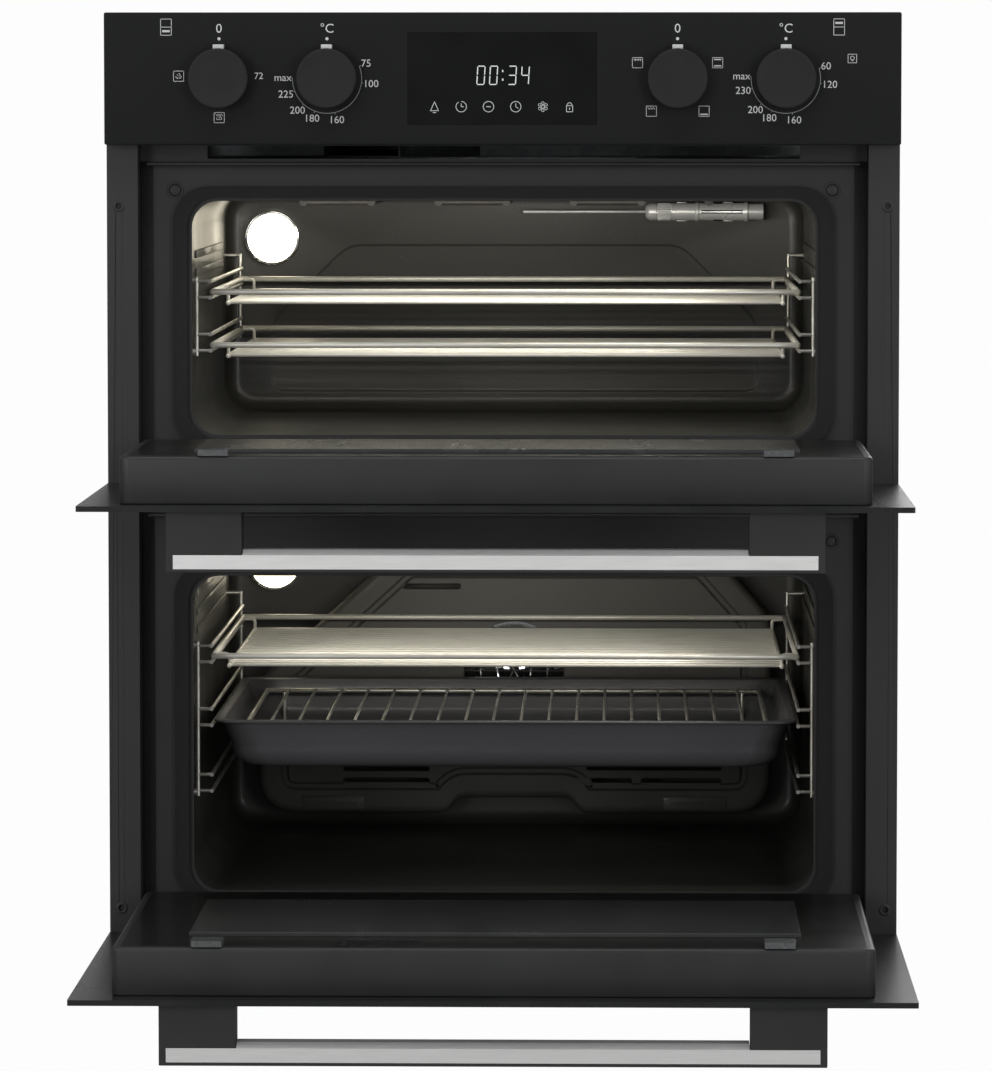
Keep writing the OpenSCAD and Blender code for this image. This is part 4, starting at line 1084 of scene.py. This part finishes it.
# the fan: a pressed disc with curved blades round its rim
fanShape = {"r": 66, "inner": 44, "blades": 12, "depth": 22, "lean": 0.42, "gap": 8}
fanLow, fanHigh = span("convection_fan")
s = fanShape
fanZ = (fanLow[2] + fanHigh[2]) / 2
discY = lowerBack - s["gap"]
disc = [(0, -24), (4, -24), (4.6, -21), (9, -20), (10.5, -17), (11, -3), (20, -1.4), (30, -3.4), (48, -3.6),
        (56, -1.4), (62, -1.2), (62, -0.2), (4, -0.2), (4, 30), (0, 30)]  # radius, distance behind the disc
mesh = bmesh.new()
lathe(mesh, [(r, discY + behind) for r, behind in disc], 72, "Y", (0, 0, fanZ))
for turn in circle(s["blades"]):
    rows = []
    for k in range(7):
        share = k / 6
        r = s["inner"] + (s["r"] - 2.5 - s["inner"]) * share
        a = turn + s["lean"] * math.sin(share * math.pi / 2)
        deep = s["depth"] - 1.5 * math.sin(share * math.pi)
        rows.append([(r * math.cos(a + o / r) * mm, (discY - d) * mm, (fanZ + r * math.sin(a + o / r)) * mm)
                     for d, o in ((1, -0.4), (deep, 2.2), (deep, 3.2), (1, 0.4))])
    loft(mesh, rows, True, True)
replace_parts(makePiece("fan_wheel", mesh, chromePolish, "convection_fan"), "convection_fan")

# temperature probe: a stepped body with a knurled grip, and its needle
probeShape = {"x": 108, "y": 428, "z": 561, "knurls": 24, "grip": (10.4, 20.4), "clips": (30, 68)}
probeSteps = [(0, 0), (3.4, 0), (5.6, 1.2), (7.0, 4), (7.0, 9), (6.5, 9.6), (6.5, 21), (7.2, 21.6),
              (7.2, 41), (7.9, 41.8), (7.9, 43.6), (7.2, 44.4), (7.2, 81), (7.9, 82), (7.9, 84), (6.6, 85),
              (6.8, 97), (4.6, 97), (4.4, 89), (0, 89)]  # radius, distance along
x0, y0, z0 = (probeShape[axis] for axis in "xyz")
mesh = bmesh.new()
lathe(mesh, [(r, x0 + along) for r, along in probeSteps], 40, "X", (0, y0, z0))
for a in circle(probeShape["knurls"]):
    y, z = y0 + 6.7 * math.cos(a), z0 + 6.7 * math.sin(a)
    wire(mesh, [(x0 + along, y, z) for along in probeShape["grip"]], 0.55, 0, 6)
wire(mesh, [(8, y0, z0), (x0 + 2, y0, z0)], 1.2, 0, 12)
for along in probeShape["clips"]:  # spring clips that hold it to the wall
    for s in (-1, 1):
        x, z = x0 + along, z0 + s * 7.4
        slab(mesh, (x - 4, y0 + 1, z - 0.5), (x + 4, upperBack, z + 0.5), 0.3)
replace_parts(makePiece("probe_body", mesh, probeChrome, "oven"), "temperature_probe")
# dark strips on the probe's body: painted shade standing for a slot along its front and a notch above and
# below
mesh = bmesh.new()
for s in (-1, 1):  # a dark slot along the front of the body, and a notch above and below
    slab(mesh, (x0 + 46, y0 - 7.5, z0 + s * 0.9 - 0.5), (x0 + 80, y0 - 6.9, z0 + s * 0.9 + 0.5), 0.2)
    slab(mesh, (x0 + 56, y0 - 4.4, z0 + s * 7.0 - 0.6), (x0 + 63, y0 - 1, z0 + s * 7.0 + 0.6), 0.2)
makePiece("probe_slot_shade", mesh, elementSteel, "oven")
print("fan and probe done")

# doors
doorShape = {
    "corner": 7,  # of the folded box, seen from the pane
    "edge": 3.0,  # rounding of its top edge
    "back": -27.0,  # the box's edge nearest the hinge
    "lap": 8,  # pane over its window
    "well": 9,  # depth of the window's walls
    "cheeks": ((250, 253), (262, 265)),
    "pins": {"upper_door": 368.5, "lower_door": 28.5},
    "band": (0.02, 0.12),  # the black frame round the pane: its foot and its face above the box
}


def doorBox(body):
    node = body + "_box"
    low, high = span(node)
    paneLow, paneHigh = span(body.replace("door", "inner_glass"))
    s, e, pinZ = doorShape, doorShape["edge"], doorShape["pins"][body]
    x, y0, y1 = high[0], low[1], s["back"]
    z0, z1 = span(body + "_glass")[1][2], paneLow[2]
    halfY, midY = (y1 - y0) / 2, (y0 + y1) / 2
    paneHalf, paneMid = (paneHigh[1] - paneLow[1]) / 2, (paneHigh[1] + paneLow[1]) / 2

    def ring(inset, z, radius):
        return boxRing(x - inset, halfY - inset, radius, midY, z, 8, True)

    def hole(inset, z):
        shrink = s["lap"] + inset
        return boxRing(paneHigh[0] - shrink, paneHalf - shrink, 7, paneMid, z, 8, True)

    foot = ((1.2, 0.05), (0.3, 0.5), (0, 1.6))  # inset and height of the rings over the glass
    rings = [ring(inset, z0 + rise, s["corner"]) for inset, rise in foot]
    for a in quarter(5):
        inset = e * (1 - math.cos(a))
        rings.append(ring(inset, z1 - e + e * math.sin(a), max(s["corner"] - inset, 2)))
    rings += [hole(-0.6, z1), hole(0, z1 - 0.6), hole(0, z1 - s["well"])]
    mesh = bmesh.new()
    loft(mesh, rings, True, True)
    # hinge cheeks: plates that run down to a round eye at the pin
    eye = [math.radians(70 - 150 * i / 8) for i in range(9)]
    outline = [(y1 - 4, z0 + 1), (y1 - 4, pinZ + 24), (-22, pinZ + 24), (-16, pinZ + 8)]
    outline += [(-12 + 6 * math.cos(t), pinZ + 6 * math.sin(t)) for t in eye]
    outline = [(u, max(v, z0 + 0.2) if u < -20 else v) for u, v in outline]
    for sx in (-1, 1):
        for pair in s["cheeks"]:
            sides = [[mesh.verts.new((sx * across * mm, u * mm, v * mm)) for u, v in outline]
                     for across in pair]
            bridge(mesh, *sides)
            for side in sides:
                mesh.faces.new(side)
    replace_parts(makePiece(node + "_shell", mesh, boxPaint, body), node)
    # a black enamelled band frames the pane on the box
    foot, top = (z1 + v for v in s["band"])
    outer, inner = (x - 6, halfY - 6, 6, midY), (paneHigh[0] + 1.2, paneHalf + 1.2, 3, paneMid)
    mesh = bmesh.new()
    loft(mesh, [boxRing(*sides, z, 6, True) for sides, z in ((outer, foot), (outer, top), (inner, top),
                                                             (inner, foot))])
    makePiece(node + "_gloss_band", mesh, bandEnamel, body)


doorBox("upper_door")
doorBox("lower_door")
print("doors done")

# floor
floorMesh = bmesh.new()
bmesh.ops.create_grid(floorMesh, x_segments=1, y_segments=1, size=14)
floorData = bpy.data.meshes.new("floor")
floorMesh.to_mesh(floorData)
floorMesh.free()
floor = bpy.data.objects.new("floor", floorData)
floor.location = (0, 0, -1.1)
bpy.context.collection.objects.link(floor)
# matt paper-white floor: even and pale, with no edge against the backdrop
floorPaint, floorTree, floorShader, floorPlace = startMaterial("paleFloor", "#E8E8E8", 0.95)
paleSight = addNode(floorTree, "Emission", {"Color": linear(studio["backdrop"]), "Strength": 1.0})
floorMix = addNode(floorTree, "MixShader", {0: addNode(floorTree, "LightPath").outputs["Is Camera Ray"],
                                            1: floorShader, 2: paleSight})
feed(floorTree, floorTree.nodes["Material Output"], {"Surface": floorMix})
floorData.materials.append(floorPaint)
print("floor done")
